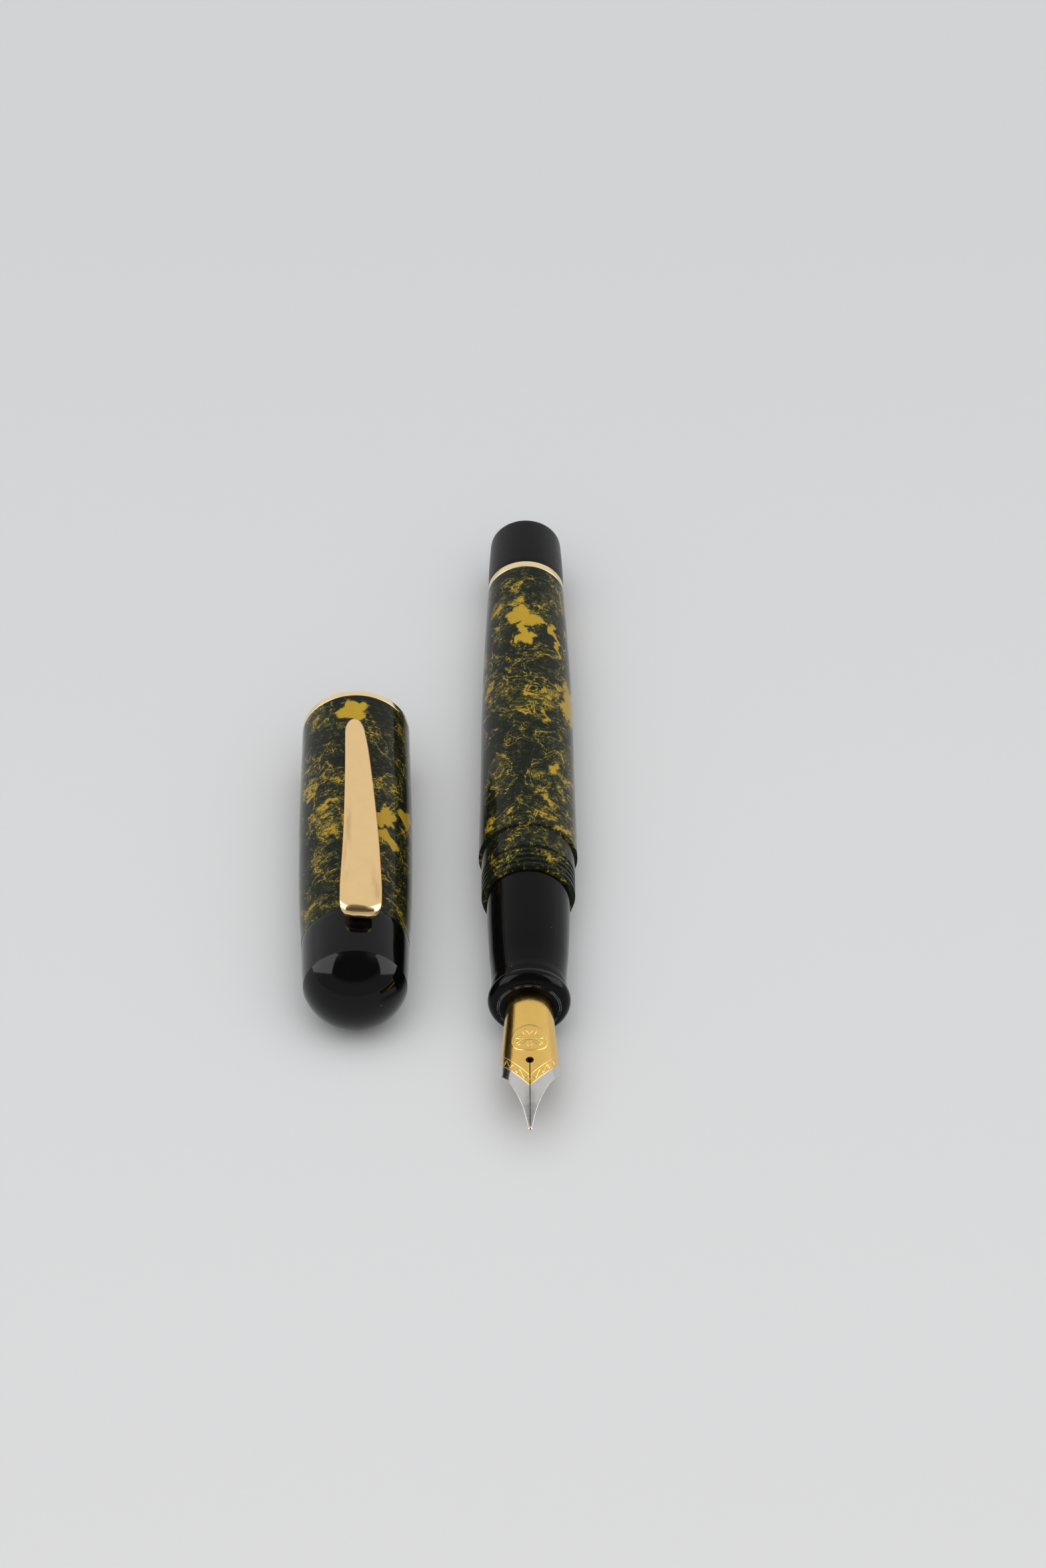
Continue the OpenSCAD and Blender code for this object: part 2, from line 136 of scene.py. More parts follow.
def lathe(outline, segments=SEGMENTS):
    """Turned solid from a closed outline of (radius, station).

    Returns vertices, faces and each vertex's angle, from +X towards +Z. Points on the axis
    become single vertices.
    """
    circle = np.arange(segments) / segments * 2 * math.pi
    vertices, angles, rings = [], [], []
    count = 0
    for radius, station in outline:
        around = circle if radius > 1e-6 else np.zeros(1)
        along = np.full(len(around), float(station))
        ring = np.stack([radius * np.cos(around), along, radius * np.sin(around)], -1)
        vertices.append(ring)
        angles.append(around)
        rings.append(count + np.arange(segments) % len(around))
        count += len(around)
    faces = []
    for near, far in zip(rings, rings[1:] + rings[:1]):
        near_pole, far_pole = near[0] == near[1], far[0] == far[1]
        if near_pole and far_pole:
            continue
        near_next, far_next = np.roll(near, -1), np.roll(far, -1)
        if near_pole:
            corners = [near, far, far_next]
        elif far_pole:
            corners = [near, far, near_next]
        else:
            corners = [near, far, far_next, near_next]
        faces += np.stack(corners, -1).tolist()
    return np.concatenate(vertices), faces, np.concatenate(angles)


def loft_faces(rings, segments):
    """Faces of a capped tube through rings of equal vertex count."""
    faces = []
    for j in range(rings - 1):
        for i in range(segments):
            here, beside = j * segments + i, j * segments + (i + 1) % segments
            faces.append([here, beside, beside + segments, here + segments])
    faces.append(list(range(segments)))
    faces.append([(rings - 1) * segments + i for i in range(segments)][::-1])
    return faces


def drop_unused(faces):
    """Indices of the vertices in use, and the faces renumbered to them."""
    used = sorted({v for face in faces for v in face})
    number = {v: i for i, v in enumerate(used)}
    return np.array(used), [[number[v] for v in face] for face in faces]


def make(name, vertices, faces, finish, body, node, sharp, **attributes):
    """One visible piece; a finish is (material, slot), sharp an edge angle in degrees. The slot is
    not used.
    """
    material, slot = finish
    mesh = bpy.data.meshes.new(name)
    mesh.from_pydata((np.asarray(vertices) * MM).tolist(), [], faces)
    for key, values in attributes.items():
        attribute = mesh.attributes.new(key, "FLOAT", "POINT")
        attribute.data.foreach_set("value", np.asarray(values, np.float32))
    bm = bmesh.new()
    bm.from_mesh(mesh)
    bmesh.ops.recalc_face_normals(bm, faces=bm.faces)
    bm.to_mesh(mesh)
    bm.free()
    mesh.shade_smooth()
    mesh.set_sharp_from_angle(angle=math.radians(sharp))
    mesh.materials.append(material)
    piece = bpy.data.objects.new(name, mesh)
    bpy.context.scene.collection.objects.link(piece)
    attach(piece, body)
    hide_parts(node)


def make_turned(name, outline, place, finish, body, node, sharp=30, segments=SEGMENTS):
    vertices, faces, _ = lathe(outline, segments)
    make(name, place(vertices), faces, finish, body, node, sharp)


# ----------------------------------------------------------- shader graphs


class Field:
    """A node's output. Arithmetic on it adds Math nodes, so it suits single numbers only."""

    def __init__(self, graph, socket):
        self.graph, self.socket = graph, socket

    def __add__(self, other):
        return self.graph.math("ADD", self, other)

    def __radd__(self, other):
        return self.graph.math("ADD", other, self)

    def __sub__(self, other):
        return self.graph.math("SUBTRACT", self, other)

    def __rsub__(self, other):
        return self.graph.math("SUBTRACT", other, self)

    def __mul__(self, other):
        return self.graph.math("MULTIPLY", self, other)

    def __truediv__(self, other):
        return self.graph.math("DIVIDE", self, other)

    def __abs__(self):
        return self.graph.math("ABSOLUTE", self)


class NodeGraph:
    """Builds the shader nodes of a material or a world."""

    def __init__(self, owner):
        owner.use_nodes = True
        self.tree = owner.node_tree
        self.tree.nodes.clear()

    def node(self, kind, inputs, **settings):
        node = self.tree.nodes.new("ShaderNode" + kind)
        for key, value in settings.items():
            setattr(node, key, value)
        for key, value in inputs.items():
            socket = node.inputs[key]
            if isinstance(value, Field):
                self.tree.links.new(value.socket, socket)
            else:
                socket.default_value = (*value, 1) if socket.type == "RGBA" else value
        return node

    def field(self, kind, inputs, output=0, **settings):
        return Field(self, self.node(kind, inputs, **settings).outputs[output])

    def math(self, operation, *values):
        return self.field("Math", dict(enumerate(values)), operation=operation)

    def vec(self, operation, *vectors):
        output = 1 if operation in ("LENGTH", "DOT_PRODUCT") else 0
        return self.field("VectorMath", dict(enumerate(vectors)), output, operation=operation)

    def scaled(self, vector, factor):
        return self.field("VectorMath", {0: vector, "Scale": factor}, operation="SCALE")

    def object_mm(self):
        return self.scaled(self.field("TexCoord", {}, "Object"), 1000.0)

    def xyz(self, vector):
        node = self.node("SeparateXYZ", {0: vector})
        return [Field(self, socket) for socket in node.outputs]

    def comb(self, x, y, z):
        return self.field("CombineXYZ", {0: x, 1: y, 2: z})

    def attr(self, name):
        return self.field("Attribute", {}, "Fac", attribute_name=name)

    def noise(self, vector, scale, detail=3.0, rough=0.5, stretch=None, output="Fac"):
        if stretch:
            vector = self.vec("MULTIPLY", vector, stretch)
        inputs = {"Vector": vector, "Scale": scale, "Detail": detail, "Roughness": rough}
        return self.field("TexNoise", inputs, output)

    def voronoi(self, vector, scale, randomness=1.0):
        inputs = {"Vector": vector, "Scale": scale, "Randomness": randomness}
        return self.field("TexVoronoi", inputs, "Distance")

    def rise(self, x, start, end, interpolation="SMOOTHSTEP"):
        """0 at start, 1 at end."""
        inputs = {0: x, 1: start, 2: end}
        return self.field("MapRange", inputs, interpolation_type=interpolation)

    def fall(self, x, start, end):
        """1 at start, 0 at end."""
        return 1.0 - self.rise(x, start, end)

    def line(self, x, centre, width):
        """A soft line where x is near centre."""
        return self.fall(abs(x - centre), width * 0.35, width)

    def mix(self, factor, a, b):
        return self.field("Mix", {0: factor, 6: a, 7: b}, 2, data_type="RGBA")

    def mix_number(self, factor, a, b):
        return self.field("Mix", {0: factor, 2: a, 3: b})

    def bump(self, height, strength, distance=0.00004):
        inputs = {"Height": height, "Strength": strength, "Distance": distance}
        return self.field("Bump", inputs)


class MaterialGraph(NodeGraph):
    def __init__(self, name):
        self.material = bpy.data.materials.new(name)
        super().__init__(self.material)

    def principled(self, **inputs):
        """Ends the graph in a Principled shader and returns the material."""
        named = {key.replace("_", " "): value for key, value in inputs.items()}
        self.node("OutputMaterial", {0: self.field("BsdfPrincipled", named)})
        return self.material


def dust_grains(g, p, scale, size, patch_scale, threshold):
    """Sparse specks, only where a broad noise passes the threshold."""
    speck = g.math("LESS_THAN", g.voronoi(p, scale), size)
    region = g.math("GREATER_THAN", g.noise(p, scale=patch_scale, detail=0), threshold)
    return speck * region


def turning_marks(g, axes, density, detail):
    """Fine bands around the Y axis."""
    x, y, z = axes
    return g.noise(g.comb(x * 0.05, y * density, z * 0.05), scale=1.0, detail=detail, rough=0.6)


# ----------------------------------------------------------------- materials


def marble_material():
    """Near-black ebonite folded with mustard; the "patch" attribute lays the larger patches, and on
    the barrel it also carries painted shade that darkens the thread grooves.
    """
    g = MaterialGraph("marbled_ebonite")
    p = g.object_mm()

    def drift(vector, reach, **noise):
        colour = g.noise(vector, detail=2, output="Color", **noise)
        return g.scaled(g.vec("SUBTRACT", colour, (0.5, 0.5, 0.5)), reach)

    # three folds of the pattern, broad to fine
    broad = g.vec("ADD", p, drift(p, reach=11.0, scale=0.085))
    middle_drift = drift(broad, reach=2.6, scale=0.45, rough=0.6)
    middle = g.vec("ADD", broad, middle_drift)
    folded = g.vec("ADD", middle, drift(p, reach=0.55, scale=1.9, rough=0.6))
    place = g.attr("patch")
    zone = g.noise(middle, scale=0.15, detail=2, rough=0.5)
    mid = g.noise(middle, scale=0.42, detail=3, rough=0.6)
    # filaments: contour lines of the folded field
    ridge = abs(g.noise(folded, scale=0.16, detail=1, rough=0.4) - 0.5)
    vein = g.fall(abs(ridge - 0.018), start=0.0, end=0.015)
    elsewhere = g.vec("ADD", folded, (31.0, 7.0, 12.0))
    fine_ridge = abs(g.noise(elsewhere, scale=0.40, detail=1, rough=0.4) - 0.5)
    fine_vein = g.fall(fine_ridge, start=0.0, end=0.024)
    # torn edges and grains, longer across the rod than along it
    torn_point = g.vec("MULTIPLY", g.vec("ADD", p, g.scaled(middle_drift, 0.6)), (0.8, 1.5, 0.8))
    torn = g.noise(torn_point, scale=1.15, detail=4, rough=0.62)
    fine = g.noise(torn_point, scale=2.7, detail=4, rough=0.70)
    grain = g.noise(torn_point, scale=6.5, detail=3, rough=0.72)
    # the weights set each scale's share in where the mustard shows
    field = (
        -0.02
        + place
        + (zone - 0.5) * 1.25
        + (mid - 0.5) * 0.8
        + vein * 0.42
        + fine_vein * 0.31
        + (torn - 0.5) * 1.3
        + (fine - 0.5) * 1.35
        + (grain - 0.5) * 1.25
    )
    yellow = g.rise(field, start=0.44, end=0.53)
    half = g.rise(field, start=0.19, end=0.41)
    haze = g.rise(field, start=-0.04, end=0.17)
    rich = g.rise(place * 0.45 + mid * 0.9 + field * 0.25, start=0.42, end=0.72)
    mustard_cloud = g.noise(folded, scale=1.3, detail=3, rough=0.6)
    mustard = g.mix(mustard_cloud, (0.43, 0.268, 0.020), (0.55, 0.345, 0.032))
    olive_cloud = g.noise(p, scale=2.2, detail=2)
    olive = g.mix(olive_cloud, (0.215, 0.180, 0.024), (0.33, 0.255, 0.040))
    gold = g.mix(rich, olive, mustard)
    dark_cloud = g.rise(g.noise(p, scale=5.5, detail=3, rough=0.7), start=0.42, end=0.66)
    dark = g.mix(dark_cloud, (0.0046, 0.0064, 0.0044), (0.016, 0.020, 0.011))
    colour = g.mix(haze * 0.75, dark, (0.040, 0.042, 0.014))
    colour = g.mix(half * 0.85, colour, (0.125, 0.112, 0.024))
    colour = g.mix(yellow, colour, gold)
    dust = dust_grains(g, p, scale=0.55, size=0.022, patch_scale=0.6, threshold=0.56)
    colour = g.mix(dust, colour, (0.45, 0.45, 0.42))
    height = g.noise(p, scale=1.2, detail=3) * 0.6 + fine * 0.25 + yellow * 0.1
    return g.principled(
        Base_Color=colour,
        Roughness=0.075 + g.noise(p, scale=0.9, detail=3) * 0.05 + yellow * 0.03,
        Specular_IOR_Level=0.09,
        IOR=1.5,
        Normal=g.bump(height, strength=0.05, distance=0.00005),
    )


def black_material(name, base, rough, spec, lines=0.0, dusty=True, rims=()):
    """Polished or satin ebonite; lines is the strength of the turning marks.

    Each rim is a thin, broken, paler ring along an edge, given as (radius, y, half width) about the
    pen's axis.
    """
    g = MaterialGraph(name)
    p = g.object_mm()
    paler = tuple(c * 1.5 + 0.0008 for c in base)
    colour = g.mix(g.noise(p, scale=3.0, detail=4, rough=0.6), base, paler)
    if dusty:
        dust = dust_grains(g, p, scale=0.62, size=0.026, patch_scale=0.5, threshold=0.53)
        colour = g.mix(dust, colour, (0.40, 0.40, 0.40))
    x, y, z = g.xyz(p)
    for rim_radius, rim_y, half_width in rims:
        off_radius = g.math("SQRT", x * x + z * z) - rim_radius
        away = g.vec("LENGTH", g.comb(off_radius, y - rim_y, 0.0))
        broken = g.rise(g.noise(p, scale=0.9, detail=3, rough=0.6), start=0.36, end=0.58)
        # a thin paler broken ring along the given edge
        tint_mask = g.fall(away, start=half_width * 0.4, end=half_width) * broken
        colour = g.mix(tint_mask * 0.8, colour, (0.115, 0.115, 0.115))
    turned = turning_marks(g, (x, y, z), density=14.0, detail=3)
    smudge = g.noise(p, scale=1.1, detail=4, rough=0.6)
    height = (
        g.noise(p, scale=1.6, detail=3) * 0.5
        + turned * (0.4 + 6 * lines)
        + g.noise(p, scale=18.0, detail=2) * 0.05
    )
    return g.principled(
        Base_Color=colour,
        Roughness=rough + (smudge - 0.5) * (rough * 0.7) + (turned - 0.5) * lines,
        Specular_IOR_Level=spec,
        IOR=1.5,
        Normal=g.bump(height, strength=0.05 + lines),
    )


def gold_material(name, base, dark, rough, streaks=False):
    """Gold plate brushed along Y; streaks of painted shade darken it where the "shade" attribute is
    high.
    """
    g = MaterialGraph(name)
    p = g.object_mm()
    brush = g.noise(p, scale=1.0, detail=3, rough=0.65, stretch=(7.0, 0.22, 7.0))
    cloud = g.noise(p, scale=0.35, detail=3, rough=0.55)
    contour = g.noise(p, scale=0.8, detail=2, rough=0.4, stretch=(0.9, 0.35, 0.9))
    scratch = g.math("LESS_THAN", abs(contour - 0.5), 0.0035)
    colour = g.mix(cloud * 0.55, base, dark)
    colour = g.mix(scratch * 0.18, colour, dark)
    if streaks:
        streak = g.noise(p, scale=1.0, detail=2, rough=0.5, stretch=(1.3, 0.20, 1.3))
        # painted shade: darker streaks standing for dark reflections along the clip
        tint_mask = g.attr("shade") * g.rise(streak, start=0.30, end=0.62)
        colour = g.mix(tint_mask * 0.48, colour, tuple(c * 0.62 for c in dark))
    height = brush * 0.35 + scratch * -0.5 + g.noise(p, scale=0.8, detail=2) * 0.5
    return g.principled(
        Base_Color=colour,
        Metallic=1.0,
        Roughness=rough + (brush - 0.5) * (rough * 0.45) + scratch * 0.10,
        Normal=g.bump(height, strength=0.06),
    )


def plain_material(name, base, rough, metallic=0.0, spec=0.5, scale=2.0, lines=0.0):
    """Lightly clouded finish; lines is the strength of the turning marks."""
    g = MaterialGraph(name)
    p = g.object_mm()
    cloud = g.noise(p, scale=scale, detail=4, rough=0.6)
    paler = tuple(min(1.0, c * 1.22 + 0.004) for c in base)
    turned = turning_marks(g, g.xyz(p), density=11.0, detail=2)
    height = g.noise(p, scale=scale * 5, detail=3) * 0.4 + turned * (lines * 6)
    return g.principled(
        Base_Color=g.mix(cloud, base, paler),
        Roughness=rough + (cloud - 0.5) * (rough * 0.6) + (turned - 0.5) * lines,
        Metallic=metallic,
        Specular_IOR_Level=spec,
        Normal=g.bump(height, strength=0.08),
    )


def nib_border(g, across, join):
    """Two lines along the V join with chased scrolls and petals between them."""
    lines = g.math(
        "MAXIMUM",
        g.line(join, centre=-17.5, width=0.13),
        g.line(join, centre=-19.32, width=0.12),
    )
    wave = -18.42 + g.math("SINE", across * 5.6) * 0.42
    scroll = g.line(join, centre=wave, width=0.24)
    dots = g.voronoi(g.comb(across * 1.45, join * 1.25, 0.0), scale=1.0, randomness=0.85)
    petals = g.fall(dots, start=0.16, end=0.40)
    band = g.rise(join, start=-19.25, end=-19.1) * g.fall(join, start=-17.72, end=-17.58)
    ornament = band * g.math("MAXIMUM", scroll * 0.8, petals * 0.65)
    on_nib = g.fall(across, start=5.5, end=5.7)
    return g.math("MAXIMUM", lines, ornament) * on_nib


def nib_oval(g, u, s):
    """An oval outline, with a leaf ring, a curved stem and veins inside it."""
    x = u / 2.72  # half width of the oval
    y = g.math("ADD", s, 10.45) / 2.38  # station of its centre, half length
    radius = g.math("SQRT", x * x + y * y)
    oval = g.line(radius, centre=1.0, width=0.055)
    lobes = g.math("SINE", g.math("ARCTAN2", y, x) * 7.0)
    leaf = g.line(radius, centre=0.50 + lobes * 0.20, width=0.085)
    leaf = leaf * g.fall(radius, start=0.80, end=0.86)
    stem = g.line(y + x * x * 0.35, centre=-0.10, width=0.09)
    stem = stem * g.fall(radius, start=0.72, end=0.80)
    ribs = g.math("SINE", (x + abs(y) * 0.8) * 11.0)
    veins = g.line(ribs, centre=0.0, width=0.5) * g.fall(radius, start=0.30, end=0.42)
    inside = g.math("MAXIMUM", leaf * 0.85, g.math("MAXIMUM", stem, veins * 0.4))
    return g.math("MAXIMUM", oval, inside)


def nib_material():
    """Gold with plated tines and engraving, placed by attributes.

    "nu" is the arc from the slit, "ns" the station, "nedge" the distance from the outer edge
    and "nhole" marks the slit, whose walls get painted shade: near-black and not metallic.
    """
    g = MaterialGraph("nib_gold")
    p = g.object_mm()
    u, s = g.attr("nu"), g.attr("ns")
    across = abs(u)
    wobble = (g.noise(p, scale=2.4, detail=2) - 0.5) * 0.05
    join = s + across * -1.2 + wobble  # the V join runs along lines of equal value
    plated = g.fall(join, start=-19.46, end=-19.38)
    engraved = g.math("MAXIMUM", nib_border(g, across, join), nib_oval(g, u, s))
    cloud = g.noise(p, scale=0.9, detail=3, rough=0.6)
    gold = g.mix(cloud * 0.6, (0.86, 0.560, 0.155), (0.74, 0.455, 0.115))
    gold = g.mix(engraved * 0.35, gold, (1.0, 0.74, 0.30))
    plate = g.mix(cloud, (0.56, 0.55, 0.53), (0.64, 0.625, 0.60))
    colour = g.mix(plated, gold, plate)
    edge = g.rise(g.attr("nedge"), start=0.35, end=0.0)
    grind = g.noise(p, scale=1.0, detail=3, rough=0.7, stretch=(3.0, 9.0, 3.0))
    brush = g.noise(p, scale=1.0, detail=3, stretch=(9.0, 0.7, 9.0))
    # painted shade: the slit's walls are near-black and not metallic, standing for the dark gap
    slit_shade = g.rise(g.attr("nhole"), start=0.15, end=0.5)
    height = (
        engraved * 0.9
        + edge * (grind * 1.6)
        + g.noise(p, scale=1.5, detail=3) * 0.35
        + g.noise(p, scale=1.0, detail=2, stretch=(8.0, 0.6, 8.0)) * 0.10
    )
    return g.principled(
        Base_Color=g.mix(slit_shade, colour, (0.004, 0.004, 0.005)),
        Metallic=1.0 - slit_shade,
        Roughness=0.17 + (brush - 0.5) * 0.10 + engraved * 0.10 + edge * 0.12,
        Specular_IOR_Level=0.1,
        Normal=g.bump(height, strength=0.55, distance=0.00006),
    )


PLATE = {"base": (0.93, 0.660, 0.325), "dark": (0.82, 0.55, 0.245)}
GRIP_RIMS = ((4.38, -51.47, 0.11), (4.62, -51.43, 0.09))  # radius, y, half width

# finishes: (material, slot)
MARBLE = marble_material(), "marbled_ebonite"
BLACK = (
    black_material(
        "black_ebonite", base=(0.0016, 0.0016, 0.0021), rough=0.085, spec=0.10, rims=GRIP_RIMS
    ),
    "black_ebonite",
)
DOME = (
    black_material("finial_ebonite", base=(0.0012, 0.0012, 0.0014), rough=0.07, spec=0.20),
    "black_ebonite",
)
SATIN = (
    black_material(
        "satin_black_ebonite", base=(0.0060, 0.0052, 0.0062), rough=0.30, spec=0.10, lines=0.05
    ),
    "satin_black_ebonite",
)
FEED = (
    black_material(
        "feed_ebonite", base=(0.0060, 0.0058, 0.0060), rough=0.34, spec=0.40, lines=0.03,
        dusty=False,
    ),
    "black_ebonite",
)
INNER = (
    black_material(
        "inner_cap_ebonite", base=(0.0080, 0.0080, 0.0085), rough=0.38, spec=0.40, lines=0.04,
        dusty=False,
    ),
    "black_ebonite",
)
GOLD = gold_material("gold_plate", rough=0.11, **PLATE), "gold_plate"
CLIP_GOLD = gold_material("gold_plate_clip", rough=0.10, streaks=True, **PLATE), "gold_plate"
RING_GOLD = (
    gold_material(
        "gold_plate_rings", base=(0.93, 0.745, 0.455), dark=(0.84, 0.63, 0.34), rough=0.11
    ),
    "gold_plate",
)
NIB_GOLD = nib_material(), "nib_gold"
PELLET = (
    plain_material("pellet_metal", base=(0.78, 0.66, 0.50), rough=0.16, metallic=1.0, scale=4.0),
    "pellet_metal",
)
STEEL = (
    plain_material(
        "steel", base=(0.48, 0.48, 0.49), rough=0.26, metallic=1.0, scale=1.5, lines=0.12
    ),
    "steel",
)
RUBBER = (
    plain_material("seal_rubber", base=(0.014, 0.014, 0.014), rough=0.62, spec=0.35, scale=3.0),
    "seal_rubber",
)
PLASTIC = (
    plain_material(
        "filler_plastic", base=(0.150, 0.156, 0.168), rough=0.38, spec=0.45, lines=0.05
    ),
    "filler_plastic",
)

# ------------------------------------------------------- marbling and thread

# The larger patches of the marbling: (across, station, half size across, half size along,
# turn in degrees, strength); across is the arc length from the top line.
PEN_PATCHES = [
    (-4.2, 87.9, 2, 2.2, -64, 0.2), (0.7, 87.8, 2, 1.8, 52, 0.2), (-1.8, 86.2, 1.8, 1.1, -84, 0.6),
    (-1.1, 84.6, 1.4, 0.6, -89, 0.45), (1, 84.1, 0.8, 0.7, 68, 0.34),
    (-5.4, 83.6, 2.8, 1.7, 45, 0.34), (-1.3, 82.6, 1.5, 1.2, -11, 0.6),
    (1.5, 81.7, 0.8, 0.7, 69, 0.34), (-4.6, 80.7, 1.4, 1, -57, 0.34),
    (-1, 79.3, 2.3, 1.9, -27, 1.5), (1.1, 77.9, 1.8, 1.1, -9, 1.5), (4.5, 76.4, 1.5, 0.5, -82, 1.5),
    (-0.6, 75.7, 2.1, 0.6, -90, 1.5), (5.4, 73.9, 2.4, 0.5, -82, 1.5),
    (-0.2, 73.5, 1.5, 1.4, -5, 1.5), (-3, 68.4, 0.8, 0.6, -62, 0.45), (7, 66.5, 1.4, 0.7, 71, 0.34),
    (-2.9, 66.1, 0.7, 0.5, -72, 0.45), (6.5, 64.4, 2.8, 0.8, 51, 0.6),
    (-7, 63.9, 1.7, 1.3, 65, 0.45), (8.8, 61.8, 3.9, 2.2, 66, 1.5), (4.2, 60.4, 1.2, 0.7, -43, 0.34),
    (-6.4, 60, 1.2, 0.7, -62, 0.34), (10.8, 58.5, 2.8, 0.2, 90, 0.45),
    (0.9, 57.8, 5.5, 2.1, 27, 0.2), (-0.5, 55.4, 2.1, 2.2, 53, 0.2), (2.8, 54.7, 1.7, 0.4, -78, 0.45),
    (3, 53.6, 0.7, 0.5, 13, 0.45), (5.6, 47.4, 1.6, 0.5, -9, 0.34), (4.3, 43.4, 1.3, 0.7, -90, 0.6),
    (-4, 43.3, 4.7, 1.2, 85, 0.2), (5.8, 42.7, 1.7, 1, -2, 0.34), (7.7, 42.7, 2.9, 0.3, 42, 0.34),
    (5.4, 38.7, 1.8, 0.7, -79, 0.34), (2.3, 37.4, 1.2, 0.5, 10, 0.34),
    (3.1, 35.9, 1.5, 0.6, -79, 0.45), (6.1, 35.3, 1.4, 0.5, 48, 0.45),
    (-1.5, 35.2, 1, 0.5, -87, 0.45), (3.9, 34.7, 0.9, 0.4, 17, 0.45), (6.8, 34.2, 1, 0.7, -39, 0.34),
    (-2.4, 33.6, 0.9, 0.4, -86, 0.45), (-5.9, 33.1, 2.2, 0.7, 38, 0.34),
    (1.6, 32.1, 1.6, 0.7, -10, 0.34), (-7.2, 31.5, 1, 0.9, -27, 0.34),
    (5.6, 31, 1.7, 0.6, 29, 0.45), (-2.7, 28.1, 1.4, 0.9, -77, 0.34), (5, 27.2, 1.2, 0.5, 38, 0.45),
    (-6.6, 25.8, 1.8, 0.7, -73, 0.34), (-2, 24.2, 1.7, 0.7, 6, 0.34),
    (3.9, 23.7, 1.3, 0.7, 25, 0.34), (-6, 23, 1.7, 1.3, -35, 0.34), (-1.5, 22.3, 1.3, 0.5, -2, 0.34),
]
CAP_PATCHES = [
    (-1.2, 56, 1.7, 0.4, 22, 0.34), (-0.3, 53.2, 2.2, 2.1, 15, 1.5),
    (-6.7, 53.1, 1.7, 0.8, -86, 0.34), (-5.7, 53.1, 1.7, 1, -64, 0.2),
    (1.7, 52.4, 1.1, 0.7, 26, 0.45), (0.8, 52.3, 0.5, 0.3, 83, -1.2),
    (-1.7, 49.5, 1.9, 0.8, -87, 0.34), (-2.7, 47.2, 2.1, 1.7, -70, 0.2),
    (-9.1, 47.1, 1.7, 1, 56, 0.2), (-3, 46.2, 1.1, 0.8, -40, 0.34),
    (-7.4, 45.7, 1.6, 0.8, -60, 0.34), (7, 39.6, 3.1, 1.4, 81, 0.2), (-2.9, 38.7, 2.2, 1.5, -78, 0.2),
    (-7.3, 38.4, 2.2, 1.2, -77, 0.34), (9.3, 33.4, 2.1, 1.4, 48, 1.5),
    (-3.2, 33.4, 1.7, 0.5, -1, 0.45), (-5.1, 32.7, 1.2, 1.2, 9, 0.45),
    (4.7, 32.3, 1.3, 0.5, 37, 0.34), (-7.2, 31.3, 2.2, 0.9, 88, 0.34),
    (9.5, 30.3, 2.6, 0.8, 51, 0.34), (4.7, 30, 2.3, 1.4, 52, 1.5), (-4.3, 29.8, 2.1, 1.5, -62, 0.2),
    (-8.1, 28, 1.4, 0.9, 53, 0.2), (-3.8, 27.3, 1.9, 1.3, -40, 0.34),
    (5.3, 25.8, 1.7, 1.1, -36, 1.5), (-4.6, 24.3, 1.4, 0.7, -3, 0.34),
]


def patch_field(vertices, radius, patches):
    """Strongest patch at each vertex, never below 0; radius turns angle into arc length."""
    u = np.arctan2(vertices[:, 0], vertices[:, 2]) * radius
    s = vertices[:, 1]
    # folded outlines instead of plain ovals
    across = u + 0.42 * np.sin(1.9 * s + 1.3) + 0.20 * np.sin(4.3 * s + 0.8 * u)
    along = s + 0.38 * np.sin(2.2 * u + 0.4) + 0.18 * np.sin(5.1 * u + 1.1 * s)
    strongest = np.zeros(len(u))
    for centre_across, centre_along, half_across, half_along, turn, strength in patches:
        cos, sin = math.cos(math.radians(turn)), math.sin(math.radians(turn))
        du, ds = across - centre_across, along - centre_along
        a = (du * cos + ds * sin) / half_across
        b = (-du * sin + ds * cos) / half_along
        distance = np.sqrt(a * a + b * b)
        strongest = np.maximum(strongest, strength * (1 - step(distance, 0.55, 1.35)))
    return strongest


def helix_turns(angles, stations, start):
    """Turns around from the bottom (0 to 1), and turns along the thread from its start."""
    around = ((angles + math.pi / 2) / (2 * math.pi)) % 1.0
    return around, (start + 0.5 * THREAD_PITCH - stations) / THREAD_PITCH - around


def shrink_radially(vertices, depth):
    """Moves vertices towards the axis, in place."""
    radius = np.hypot(vertices[:, 0], vertices[:, 2])
    factor = (radius - depth) / radius
    vertices[:, 0] *= factor
    vertices[:, 2] *= factor


# ---------------------------------------------------------------- pen pieces

# (station, radius) behind the barrel's step
BARREL = [
    (29.96, 7.38), (33.0, 7.345), (36.5, 7.30), (40, 7.245), (44, 7.185), (50, 7.14), (56, 7.105),
    (60.5, 7.06), (65.5, 6.965), (71, 6.845), (75, 6.715), (79.5, 6.545), (84, 6.37), (88, 6.20),
    (91.65, 6.05),
]
BARREL_FRONT, THREADED_RADIUS = 21.20, 6.95
BARREL_THREAD_START = 25.42


